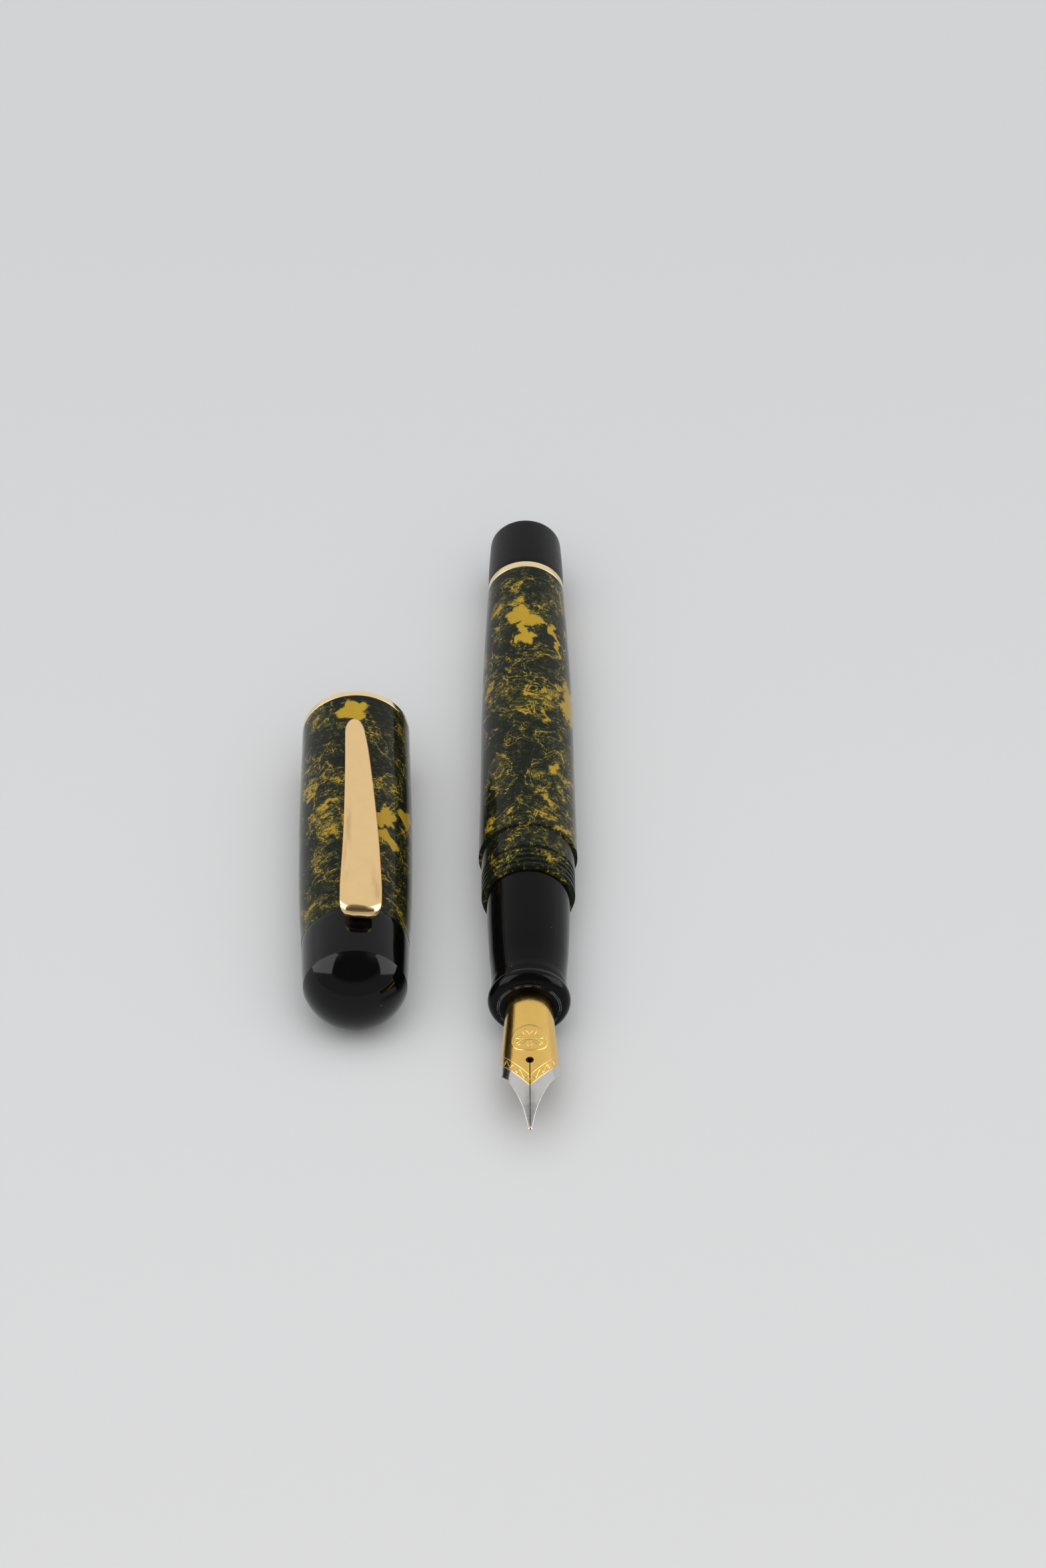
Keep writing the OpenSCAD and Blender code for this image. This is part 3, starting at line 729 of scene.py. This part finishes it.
def build_barrel():
    # rounded front edge, finely divided threaded part, plain part
    rows = [(6.62, BARREL_FRONT)]
    for t in np.linspace(0.25, math.pi / 2, 5):
        rows.append((6.62 + 0.33 * math.sin(t), BARREL_FRONT + 0.30 * (1 - math.cos(t))))
    rows += [(THREADED_RADIUS, s) for s in np.arange(21.56, 26.6, 0.055)]
    rows += [(THREADED_RADIUS, s) for s in np.arange(26.7, 29.62, 0.22)]
    # small undercut at the foot of the step, then the rounded step
    rows += [(THREADED_RADIUS, 29.66), (6.90, 29.70), (6.84, 29.76), (6.84, 29.90)]
    rows += [(6.86, 29.94), (7.22, 29.955)]
    for t in np.linspace(0.15, math.pi / 2, 7):
        rows.append((7.245 + 0.135 * math.sin(t), 29.955 + 0.135 * (1 - math.cos(t))))
    rows += curve_rows(BARREL, np.arange(30.3, 91.60, 0.30))
    # rear end and the bore
    rows += fillet([
        (6.052, 91.55), (6.05, 91.65, 0.04), (5.2, 91.65), (5.2, 64.5, 0.1), (4.6, 64.5, 0.1),
        (4.6, 31.7), (5.65, 31.7), (5.65, BARREL_FRONT, 0.1), (6.0, BARREL_FRONT),
    ])
    vertices, faces, angles = lathe(rows)
    s = vertices[:, 1].copy()
    radius = np.hypot(vertices[:, 0], vertices[:, 2])
    around, along = helix_turns(angles, s, BARREL_THREAD_START)
    coil = np.round(along)
    away = np.abs(along - coil) * THREAD_PITCH
    groove = (1 - step(away, 0.14, 0.34)) * (coil >= 0) * step(coil + around, 0.0, 0.07)
    threaded = (s > 21.22) & (s < 27) & (radius > 6.5)
    shrink_radially(vertices, np.where(threaded, THREAD_DEPTH * groove, 0.0))
    # less mustard ahead of the step, and painted shade in the thread grooves, which lose mustard and
    # so look darker
    patch = patch_field(vertices, 7.0, PEN_PATCHES)
    ahead = s < 29.9
    patch = patch * np.where(ahead, 0.55, 1.0) - np.where(ahead, 0.04, 0.0)
    # painted shade: the thread grooves are darkened by taking mustard out of them
    patch = patch - 0.22 * groove * threaded
    make("barrel_shell", pen_frame(vertices), faces, MARBLE, "pen", "barrel", 38, patch=patch)


# (station, radius) of the waisted grip
GRIP = [
    (1.2, 5.56), (2.0, 5.545), (3.2, 5.46), (4.6, 5.485), (6.9, 5.615), (8.6, 5.74), (11.3, 5.885),
    (14.2, 6.005), (17.7, 6.105), (21.0, 6.165),
]


def build_section():
    # elliptical lip, grip, rear tenon and bore
    rows = [(4.47, -1.46)]
    for t in np.radians(np.arange(-80, 51, 5)):
        rows.append((4.72 + 1.28 * math.cos(t), 0.05 + 1.5 * math.sin(t)))
    rows += curve_rows(GRIP, np.arange(1.75, 20.9, 0.3))
    rows += fillet([
        (6.165, 20.95), (6.17, 21.15, 0.05), (5.6, 21.15), (5.6, 29.2), (4.75, 29.2),
        (4.75, 30.2), (5.6, 30.2), (5.6, 31.4, 0.2), (3.0, 31.4, 0.1), (3.0, 17.5), (4.0, 17.5),
        (4.0, -0.3), (4.47, -0.3),
    ])
    make_turned("grip_section", rows, pen_frame, BLACK, "pen", "section")


def build_small_turned():
    housing = fillet([
        (3.38, -1.5, 0.12), (4.44, -1.5, 0.13), (4.44, -0.34), (3.97, -0.34), (3.97, 16.8),
        (2.96, 16.8), (2.96, 9.0), (3.38, 9.0),
    ], 6)
    make_turned("nib_housing", housing, pen_frame, BLACK, "pen", "nib_collar")
    ring = fillet([(5.18, 91.67), (6.055, 91.67, 0.07), (6.035, 93.0, 0.07), (5.18, 93.0)])
    make_turned("barrel_ring_polished", ring, pen_frame, RING_GOLD, "pen", "barrel_ring")
    knob = fillet([
        (2.52, 93.05), (6.0, 93.05, 0.06), (5.985, 94.4), (5.94, 96.5), (5.87, 98.6),
        (5.78, 100.6), (5.68, 102.6), (5.61, 103.6),
    ], 4)
    for t in np.linspace(0.1, math.pi / 2, 9):
        knob.append((4.65 + 0.95 * math.cos(t), 103.60 + 0.95 * math.sin(t)))
    knob += [(3.2, 104.56), (1.6, 104.565), (0.0, 104.565), (0.0, 100.1), (2.52, 100.1)]
    make_turned("knob_shell", knob, pen_frame, SATIN, "knob", "turning_knob")


# nib sheet: radius, crown height and half arc length, each as (station, value)
NIB_RADIUS = [
    (-26.3, 8), (-24, 7.2), (-22, 6.5), (-18, 5.2), (-14.5, 4.43), (-10.3, 4.14), (-6.1, 3.78),
    (-2.7, 3.48), (-1.5, 3.36), (1, 3.35), (8.4, 3.35),
]
NIB_CROWN = [
    (-26.3, 1.45), (-24, 1.86), (-22, 2.2), (-19, 2.62), (-14.7, 2.95), (-8, 3.22), (-4, 3.31),
    (-1.5, 3.35), (8.4, 3.35),
]
NIB_HALF_ARC = [
    (-26.3, 0.30), (-25.6, 0.43), (-24.3, 0.70), (-22.7, 1.12), (-20.7, 1.90), (-19.2, 2.60),
    (-18, 3.25), (-17, 3.95), (-16.2, 4.65), (-15.6, 5.35), (-15.2, 5.80), (-14.8, 6.05),
    (-14.3, 6.15), (-10.3, 5.8), (-6.1, 5.28), (-2.7, 4.7), (-1.5, 4.3), (3.5, 3.9), (8.4, 3.6),
]
# (first station, last station, count)
NIB_SPANS = [
    (-26.3, -24.0, 24), (-24.0, -17.2, 46), (-17.2, -13.9, 56), (-13.9, -2.5, 64),
    (-2.5, -1.0, 12), (-1.0, 8.4, 24),
]
NIB_COLUMNS = 40  # points across each half
NIB_THICKNESS, NIB_EDGE_RADIUS = 0.35, 0.10
SLIT_DEPTH, SLIT_WALL = 0.27, 0.012
BREATHER_STATION, BREATHER_RADIUS = -14.7, 0.58


def nib_faces(rows, open_middle):
    """Faces of both halves; each row runs out along the top and back along the underside."""
    size = 2 * NIB_COLUMNS + 1
    faces = []
    for side in range(2):
        starts = [(side * rows + i) * size for i in range(rows)]
        for i in range(rows - 1):
            a, b = starts[i], starts[i + 1]
            for k in range(size - 1):
                faces.append([a + k, a + k + 1, b + k + 1, b + k])
            if open_middle[i] or open_middle[i + 1]:
                faces.append([a + size - 1, a, b, b + size - 1])
        for a in (starts[0], starts[-1]):
            for k in range(NIB_COLUMNS - 1):
                faces.append([a + k, a + k + 1, a + size - 2 - k, a + size - 1 - k])
            faces.append([a + NIB_COLUMNS - 1, a + NIB_COLUMNS, a + NIB_COLUMNS + 1])
    return faces


def build_nib():
    stations = np.concatenate([np.linspace(*span) for span in NIB_SPANS])
    stations = np.unique(np.round(stations, 4))
    bend = smooth_curve(NIB_RADIUS, stations)[:, None]
    crown = smooth_curve(NIB_CROWN, stations)[:, None]
    half_arc = smooth_curve(NIB_HALF_ARC, stations)
    columns = np.linspace(0, 1, NIB_COLUMNS) ** 1.15  # denser near the slit
    slit = np.where(stations < -14.75, 0.034 + 0.026 * step(stations, -25, -16), 0.0)
    reach = BREATHER_RADIUS**2 - (stations - BREATHER_STATION) ** 2
    hole = np.sqrt(np.maximum(0.0, reach))
    offsets, depths, slit_marks = [], [], []
    for i, outer in enumerate(half_arc):
        across = hole[i] + columns * (outer - hole[i])
        slitted = slit[i] > 0 and hole[i] == 0
        if slitted:
            wall = slit[i] + SLIT_WALL
            across = np.concatenate([[0.0, slit[i], wall], wall + columns[3:] * (outer - wall)])
        into_edge = np.maximum(0.0, NIB_EDGE_RADIUS - (outer - across))
        edge_height = np.sqrt(np.maximum(0.0, NIB_EDGE_RADIUS**2 - into_edge**2))
        drop = NIB_EDGE_RADIUS - edge_height
        underside = (NIB_THICKNESS - drop)[::-1]
        mark = np.zeros(2 * NIB_COLUMNS + 1)
        # the slit's walls are marked for painted shade in the nib's finish
        if slitted:
            drop[:2] = SLIT_DEPTH
            mark[:2] = 1.0
        offsets.append(np.concatenate([across, [outer], across[::-1]]))
        depths.append(np.concatenate([drop, [NIB_THICKNESS * 0.5], underside]))
        slit_marks.append(mark)
    offset, radius = np.array(offsets), bend - np.array(depths)
    along = np.broadcast_to(stations[:, None], offset.shape)
    sides = []
    for side in (-1, 1):
        angle = side * offset / bend
        points = [radius * np.sin(angle), along, crown - bend + radius * np.cos(angle)]
        sides.append(np.stack(points, -1).reshape(-1, 3))
    vertices = np.concatenate(sides)
    arc = np.concatenate([-offset.ravel(), offset.ravel()])
    edge = np.tile((half_arc[:, None] - offset).ravel(), 2)
    in_slit = np.tile(np.array(slit_marks).ravel(), 2)
    # weld the two halves along the middle line
    weld = np.arange(len(vertices))
    weld[(np.abs(arc) < 1e-7) & (weld >= offset.size)] -= offset.size
    faces = [[int(weld[v]) for v in face] for face in nib_faces(len(stations), hole > 0)]
    used, faces = drop_unused([face for face in faces if len(set(face)) == len(face)])
    make(
        "nib_sheet", pen_frame(vertices[used]), faces, NIB_GOLD, "pen", "nib", 40,
        nu=arc[used], ns=vertices[used, 1], nedge=edge[used], nhole=in_slit[used],
    )


def build_pellet():
    """A slightly flattened ball that laps onto the two tines."""
    around, rings = 40, 24
    size = 0.36
    centre = np.array([0.0, -26.52, 1.24])
    vertices, faces = [], []
    for j in range(rings + 1):
        polar = math.pi * j / rings
        for i in range(around):
            a = 2 * math.pi * i / around
            x, y, z = math.sin(polar) * math.cos(a), -math.cos(polar), math.sin(polar) * math.sin(a)
            back = max(0.0, y)
            x *= size * (1 - 0.25 * back)
            y *= size + 0.16 * back
            z *= size * (1 - 0.30 * back)
            vertices.append(centre + np.array([x, y, z + 0.10 * back * back]))
    for j in range(rings):
        for i in range(around):
            a, b = j * around + i, j * around + (i + 1) % around
            if j == 0:
                faces.append([0, b + around, a + around])
            elif j == rings - 1:
                faces.append([a, b, rings * around])
            else:
                faces.append([a, b, b + around, a + around])
    used, faces = drop_unused(faces)
    vertices = pen_frame(np.array(vertices)[used])
    make("nib_pellet", vertices, faces, PELLET, "pen", "nib_tip", 60)


# (station, radius scale) of the feed's front end
FEED_FRONT = [
    (-17.30, 0.55), (-17.24, 0.80), (-17.10, 0.96), (-16.8, 1.0), (-15.5, 1.0), (-14.2, 1.0),
    (-12.90, 1.0), (-12.71, 1.0), (-12.69, 0.93), (-12.62, 0.98), (-12.5, 1.0), (-12.1, 1.0),
]
# (station, radius) of the stem inside the housing
FEED_STEM = [
    (-1.19, 2.88), (0.4, 2.9), (8.8, 2.9), (9.1, 2.9), (17.4, 2.9), (17.5, 2.85), (17.52, 2.2),
    (18.4, 2.2), (18.5, 2.1),
]
FEED_BACK = -1.2  # station where the exposed body ends
FEED_TILT = math.radians(7.27)
NOTCHES, NOTCH_PITCH, NOTCH_WIDTH = 8, 0.95, 0.35
NOTCH_SCALE = 0.72  # radius left in a notch


def feed_circle(station):
    """Radius and centre height of the exposed body."""
    if station < -12.70:
        ahead = -12.31 - station
        return 0.92 - 0.42 * ahead / 5.0, 1.517 + ahead * math.tan(math.radians(2.67))
    ahead = FEED_BACK - station
    taper = np.clip(ahead / 11.6 / math.cos(FEED_TILT), 0, 1)
    return 2.8 - 1.8 * taper, 0.10 + ahead * math.tan(FEED_TILT)


def feed_stations():
    """(station, scale below the middle, scale all round) along the exposed body."""
    rows = [(station, 1.0, scale) for station, scale in FEED_FRONT]

    def plain_until(here, end):
        while here < end:
            rows.append((here, 1.0, 1.0))
            here += 0.4

    here = -11.9
    for i in reversed(range(NOTCHES)):
        back = -2.9 - NOTCH_PITCH * i
        front = back - NOTCH_WIDTH
        plain_until(here, front - 0.12)
        rows += [(s, 1.0, 1.0) for s in (front - 0.03, front)]
        rows += [(s, NOTCH_SCALE, 1.0) for s in (front + 0.001, back - 0.001)]
        rows += [(s, 1.0, 1.0) for s in (back, back + 0.03)]
        here = back + 0.15
    plain_until(here, -1.25)
    rows.append((FEED_BACK, 1.0, 1.0))
    return rows


def build_feed():
    segments = 96
    circle = [2 * math.pi * i / segments for i in range(segments)]
    vertices = []
    for station, below, scale in feed_stations():
        full_radius, height = feed_circle(station)
        for a in circle:
            radius = full_radius * scale
            if below < 1.0:
                lowness = 0.5 - 0.5 * math.sin(a)  # 1 at the bottom
                radius *= 1 - (1 - below) * step(lowness, 0.38, 0.50)
            x, z = radius * math.cos(a), height + radius * math.sin(a)
            # channel along the top
            if abs(x) < 0.2 and math.sin(a) > 0:
                z = min(z, height + radius - 0.5)
            vertices.append([x, station, z])
    for station, stem_radius in FEED_STEM:
        for a in circle:
            bulged = station < 8.9 and math.sin(a) < 0.05
            radius = 3.33 if bulged else stem_radius
            vertices.append([radius * math.cos(a), station, radius * math.sin(a)])
    faces = loft_faces(len(vertices) // segments, segments)
    make("ink_feed", pen_frame(vertices), faces, FEED, "pen", "feed", 32)


# ---------------------------------------------------------------- cap pieces

# (station, radius) of the tube
CAP = [
    (10.25, 7.90), (11.7, 7.95), (13.4, 8.06), (15.6, 8.17), (19, 8.30), (23, 8.39), (28, 8.45),
    (34, 8.48), (41, 8.44), (46.5, 8.365), (52, 8.27), (56.65, 8.195),
]
CAP_BORE = 7.02
CAP_THREAD_START = 53.6


def build_cap_tube():
    rows = [(7.86, 10.25)]
    rows += curve_rows(CAP, np.concatenate([[10.29], np.arange(10.5, 56.6, 0.30)]))
    rows += [
        (8.195, 56.62), (8.17, 56.65), (7.70, 56.65), (7.70, 57.78), (7.66, 57.82),
        (7.12, 57.82), (7.04, 57.76), (CAP_BORE, 57.68),
    ]
    rows += [(CAP_BORE, s) for s in np.arange(57.4, 54.4, -0.3)]
    rows += [(CAP_BORE, s) for s in np.arange(54.3, 48.9, -0.06)]
    rows += [(6.95, 48.85), (6.95, 30.0), (6.95, 10.25)]
    vertices, faces, angles = lathe(rows)
    s = vertices[:, 1]
    radius = np.hypot(vertices[:, 0], vertices[:, 2])
    # female thread: four turns of ridge standing in from the bore
    around, along = helix_turns(angles, s, CAP_THREAD_START)
    coil = np.clip(np.round(along), 0, 3)
    away = np.abs(along - coil) * THREAD_PITCH
    total = coil + around
    ridge = (1 - step(away, 0.10, 0.34)) * step(total, 0.0, 0.06) * (1 - step(total, 3.93, 3.99))
    bore = (s > 48.9) & (s < 54.4) & (radius < 7.1)
    shrink_radially(vertices, np.where(bore, THREAD_DEPTH * ridge, 0.0))
    patch = patch_field(vertices, 8.3, CAP_PATCHES)
    make("cap_shell", cap_frame(vertices), faces, MARBLE, "cap", "cap_tube", 38, patch=patch)


def build_cap_turned():
    ring = fillet([
        (7.73, 56.68), (8.205, 56.68, 0.06), (8.195, 57.85, 0.30), (7.73, 57.85, 0.08),
    ], 8)
    make_turned("cap_lip_ring_polished", ring, cap_frame, RING_GOLD, "cap", "cap_lip_ring")
    # finial: spherical dome with a rounded edge, tapering wall, tenon inside
    dome_rise = 5.3
    dome_radius = (7.52**2 + dome_rise**2) / (2 * dome_rise)
    apex = 1.55 - dome_rise
    finial = [(0.0, apex)]
    for t in np.linspace(0.04, math.asin(7.40 / dome_radius), 44):
        finial.append((dome_radius * math.sin(t), apex + dome_radius - dome_radius * math.cos(t)))
    finial += fillet([(7.40, 1.40), (7.53, 1.62, 0.10), (7.62, 3.0), (7.70, 4.2)])[1:]
    finial += [(7.75, 5.5), (7.80, 6.8), (7.84, 8.0), (7.865, 9.2)]
    finial += fillet([
        (7.87, 9.8), (7.88, 10.19, 0.05), (7.64, 10.19), (7.64, 9.72), (6.90, 9.72),
        (6.90, 15.4), (5.60, 15.4), (5.60, -0.30), (4.0, -0.30),
    ], 4)[1:]
    finial += [(0.0, -0.30)]
    make_turned("finial_dome", finial, cap_frame, DOME, "cap", "cap_finial", sharp=34)
    sleeve = fillet([
        (0.0, -0.25), (5.55, -0.25, 0.1), (5.55, 15.5, 0.05), (6.88, 15.5, 0.1),
        (6.88, 48.9, 0.15), (6.20, 48.9, 0.15), (6.20, 16.4, 0.3), (4.90, 16.4, 0.3),
        (4.90, 0.5, 0.8), (0.0, 0.5),
    ])
    make_turned(
        "inner_cap_sleeve", sleeve, cap_frame, INNER, "cap_core", "inner_cap", segments=128
    )


# clip blade: (station, height above the cap's axis)
CLIP_TOP = [
    (6.82, 8.98), (6.88, 9.50), (7.06, 9.96), (7.42, 10.30), (8.0, 10.50), (9.0, 10.61),
    (10.4, 10.66), (14, 10.73), (19, 10.79), (24, 10.81), (34, 10.66), (42, 10.29), (46.5, 9.95),
    (48.6, 9.74), (49.5, 9.56), (49.82, 9.36), (49.92, 9.14),
]
CLIP_UNDERSIDE = [
    (6.82, 8.90), (7.2, 8.63), (8, 8.80), (9, 9.10), (11, 9.5), (14, 9.62), (24, 9.78),
    (34, 9.68), (42, 9.38), (45.2, 8.95), (46.4, 8.57), (47.4, 8.44), (48.4, 8.50), (49.5, 8.80),
    (49.92, 9.08),
]
CLIP_HALF_WIDTH = 3.07
HEAD_END, HEAD_LENGTH = 9.7, 2.88  # rounded head
TAPER_START, TAPER_END, TAPER_HALF_WIDTH = 12.4, 47.2, 1.56
TIP_START, TIP_LENGTH = 46.6, 3.30  # rounded tip
CLIP_RING_SIDES = (9.76, 10.14)  # stations of the ring's two faces


def clip_half_width(station):
    taper = np.clip((station - TAPER_START) / (TAPER_END - TAPER_START), 0, 1)
    width = CLIP_HALF_WIDTH + (TAPER_HALF_WIDTH - CLIP_HALF_WIDTH) * taper
    into_head = max(0.0, HEAD_END - station) / HEAD_LENGTH
    width = min(width, CLIP_HALF_WIDTH * (1 - into_head**2.6) ** (1 / 2.6))
    if station > TIP_START:
        into_tip = (station - TIP_START) / TIP_LENGTH
        width = min(width, 1.58 * math.sqrt(1 - into_tip**2))
    return float(width)


def clip_shade(across, s):
    """Two streaks of painted shade on the blade: one near its -X edge, one near +X by the head."""
    left = step(across, -1.0, -0.78) * (1 - step(across, -0.72, -0.45))
    left = left * step(s, 12, 17) * (1 - step(s, 25, 33))
    right = step(across, 0.35, 0.70) * (1 - step(across, 0.80, 1.0))
    right = right * step(s, 8.5, 10.5) * (1 - step(s, 12.5, 18))
    return float(max(left, right))


def build_clip_blade():
    stations = np.concatenate([
        HEAD_END - HEAD_LENGTH * np.cos(np.linspace(0.10, math.pi / 2, 22)),
        np.linspace(HEAD_END, TIP_START, 120)[1:],
        TIP_START + TIP_LENGTH * np.sin(np.linspace(0, 1.50, 26))[1:],
    ])
    segments = 64
    vertices, shade = [], []
    # superellipse-like cross-section: crowned top, flat underside, rounded edges
    for s in stations:
        half_width = clip_half_width(s)
        top = float(smooth_curve(CLIP_TOP, s))
        underside = float(smooth_curve(CLIP_UNDERSIDE, s))
        half_height = max(0.5 * (top - underside), 0.03)
        crown = 0.34 * (half_width / CLIP_HALF_WIDTH) * min(1.0, half_height / 0.4)
        drift = 0.90 * max(0.0, (s - 20.0) / 29.0) ** 1.5  # the blade bends towards -X
        for i in range(segments):
            t = 2 * math.pi * i / segments
            cos, sin = math.cos(t), math.sin(t)
            power = 0.60 if sin > 0 else 0.30
            across = math.copysign(abs(cos) ** 0.85, cos)
            z = 0.5 * (top + underside) + half_height * math.copysign(abs(sin) ** power, sin)
            if sin > 0:
                z -= crown * abs(across) ** 2.2 * abs(sin) ** 0.2
            vertices.append([half_width * across - drift, s, z])
            shade.append(clip_shade(across, s) if sin > 0 else 0.0)
    faces = loft_faces(len(stations), segments)
    # tang that bears on the lug
    n = len(vertices)
    vertices += [[x, s, z] for s in CLIP_RING_SIDES for z in (9.0, 9.55) for x in (-1.5, 1.5)]
    shade += [0.0] * 8
    box = [(0, 1, 3, 2), (4, 6, 7, 5), (0, 4, 5, 1), (2, 3, 7, 6), (0, 2, 6, 4), (1, 5, 7, 3)]
    faces += [[n + corner for corner in face] for face in box]
    placed = cap_frame(vertices, CLIP_ROLL)
    make("clip_blade", placed, faces, CLIP_GOLD, "clip", "clip", 50, shade=shade)


def build_clip_ring():
    """The ring round the cap with its lug and rolled bead."""
    front, back = CLIP_RING_SIDES
    outline = [(6.94, front), (7.60, front, 0.05), (7.60, back, 0.05), (6.94, back)]
    ring, faces, _ = lathe(fillet(outline, 3), 128)
    side = [(back, 7.3)]  # (station, z) of the lug
    for t in np.linspace(-0.92, math.pi + 0.92, 22):
        side.append((9.95 + 0.24 * math.cos(t), 8.70 + 0.24 * math.sin(t)))
    side.append((front, 7.3))
    lug = [[x, s, z] for x in (-1.52, 1.52) for s, z in side]
    n, m = len(ring), len(side)
    for k in range(m):
        after = (k + 1) % m
        faces.append([n + k, n + after, n + m + after, n + m + k])
    faces.append(list(range(n, n + m)))
    faces.append(list(range(n + 2 * m - 1, n + m - 1, -1)))
    placed = np.concatenate([cap_frame(ring), cap_frame(lug, CLIP_ROLL)])
    make("clip_ring_lug", placed, faces, GOLD, "cap", "clip_ring", 30)


build_barrel()
build_section()
build_small_turned()
build_nib()
build_pellet()
build_feed()
build_cap_tube()
build_cap_turned()
build_clip_blade()
build_clip_ring()

# parts inside keep their CAD shape, with their own finish
INNER_PARTS = {
    "section_seal": RUBBER,
    "filler_housing": PLASTIC,
    "housing_seal": RUBBER,
    "retaining_ring": STEEL,
    "spindle": STEEL,
    "friction_washer": RUBBER,
    "piston_rod": PLASTIC,
    "piston_head": PLASTIC,
    "piston_seal_front": RUBBER,
    "piston_seal_rear": RUBBER,
}
for node_name, (part_material, part_slot) in INNER_PARTS.items():
    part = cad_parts[node_name]
    part.data.materials.clear()
    part.data.materials.append(part_material)

# --------------------------------------------------------------------- stage


def floor_material():
    g = MaterialGraph("pale_floor")
    p = g.object_mm()
    # painted light falloff: the floor's colour is darker towards +Y, away from the camera
    along = g.rise(g.xyz(p)[1], start=-160, end=160, interpolation="LINEAR")
    colour = g.mix(along, (0.735, 0.735, 0.742), (0.655, 0.668, 0.674))
    colour = g.mix(g.noise(p, scale=0.01, detail=2) * 0.05, colour, (0.60, 0.61, 0.63))
    return g.principled(Base_Color=colour, Roughness=0.75, Specular_IOR_Level=0.2)


def build_floor():
    cells, half = 24, 1.6  # half the floor's side, in metres
    ticks = [(i / cells * 2 - 1) * half for i in range(cells + 1)]
    vertices = [(x, y, TABLE * MM) for y in ticks for x in ticks]
    row = cells + 1
    corners = [j * row + i for j in range(cells) for i in range(cells)]
    faces = [[a, a + 1, a + row + 1, a + row] for a in corners]
    mesh = bpy.data.meshes.new("floor")
    mesh.from_pydata(vertices, [], faces)
    mesh.materials.append(floor_material())
    floor = bpy.data.objects.new("floor", mesh)
    bpy.context.scene.collection.objects.link(floor)


def build_world():
    """Soft surround: a tilted softbox on each side, bright towards +Y, dark to -Y and overhead."""
    world = bpy.data.worlds.new("studio")
    bpy.context.scene.world = world
    g = NodeGraph(world)
    direction = g.field("TexCoord", {}, "Generated")
    x, y, z = g.xyz(direction)

    def facing(normal):
        return g.vec("DOT_PRODUCT", direction, normal)

    def softbox(lower, upper):
        """Bright on the positive side of two planes."""
        above = g.rise(facing(lower), start=-0.01, end=0.02)
        return above * g.rise(facing(upper), start=-0.01, end=0.02)

    sideways = abs(x)
    left = softbox((-0.667, 0.588, -0.457), (0.079, 0.685, 0.724))
    right = softbox((0.547, 0.618, -0.562), (-0.033, 0.686, 0.727))
    beside = g.rise(sideways * 0.78 - y, start=0.0, end=0.12)  # cuts the boxes off towards +Y
    boxes = g.math("MAXIMUM", left, right) * beside
    zenith = g.rise(z, start=0.86, end=0.95) * g.fall(sideways, start=0.50, end=0.75)
    front = g.rise(y, start=0.25, end=-0.25)
    bright, dark, softbox_light, camera_light = 0.80, 0.08, 3.4, 0.70
    front_dark = front * (0.42 + g.rise(z, start=0.40, end=0.58) * 0.55)
    base = g.mix_number(front_dark, bright, dark)
    base = g.mix_number(zenith * 0.85, base, dark)
    mirrored = g.mix_number(boxes, base, softbox_light)
    # matt surfaces are lit by a broad overhead panel instead of the mirrored surround
    up = g.math("MAXIMUM", facing((0.0, -0.42, 0.907)), 0.0)
    panel = 0.10 + g.math("POWER", up, 4.0) * 2.9
    path = g.node("LightPath", {})
    diffuse_ray = Field(g, path.outputs["Is Diffuse Ray"])
    camera_ray = Field(g, path.outputs["Is Camera Ray"])
    light = g.mix_number(diffuse_ray, mirrored, panel)
    light = g.mix_number(camera_ray, light, camera_light)
    background = g.field("Background", {"Color": (1.0, 1.0, 1.0), "Strength": light})
    g.node("OutputWorld", {0: background})
    world.cycles.sampling_method = "NONE"


def build_camera():
    data = bpy.data.cameras.new("camera")
    data.sensor_fit = "VERTICAL"
    data.sensor_height = 36.0
    data.sensor_width = 36.0
    data.lens = 99.574468
    data.clip_start, data.clip_end = 0.01, 20.0
    camera = bpy.data.objects.new("camera", data)
    bpy.context.scene.collection.objects.link(camera)
    camera.location = (-2.92 * MM, -493.5 * MM, 441.4 * MM)
    # looks 42 degrees down, towards +Y
    camera.rotation_euler = (math.radians(90 - 42), 0.0, math.radians(-0.262))
    bpy.context.scene.camera = camera


build_floor()
build_world()
build_camera()
bpy.context.scene.view_settings.view_transform = "Standard"
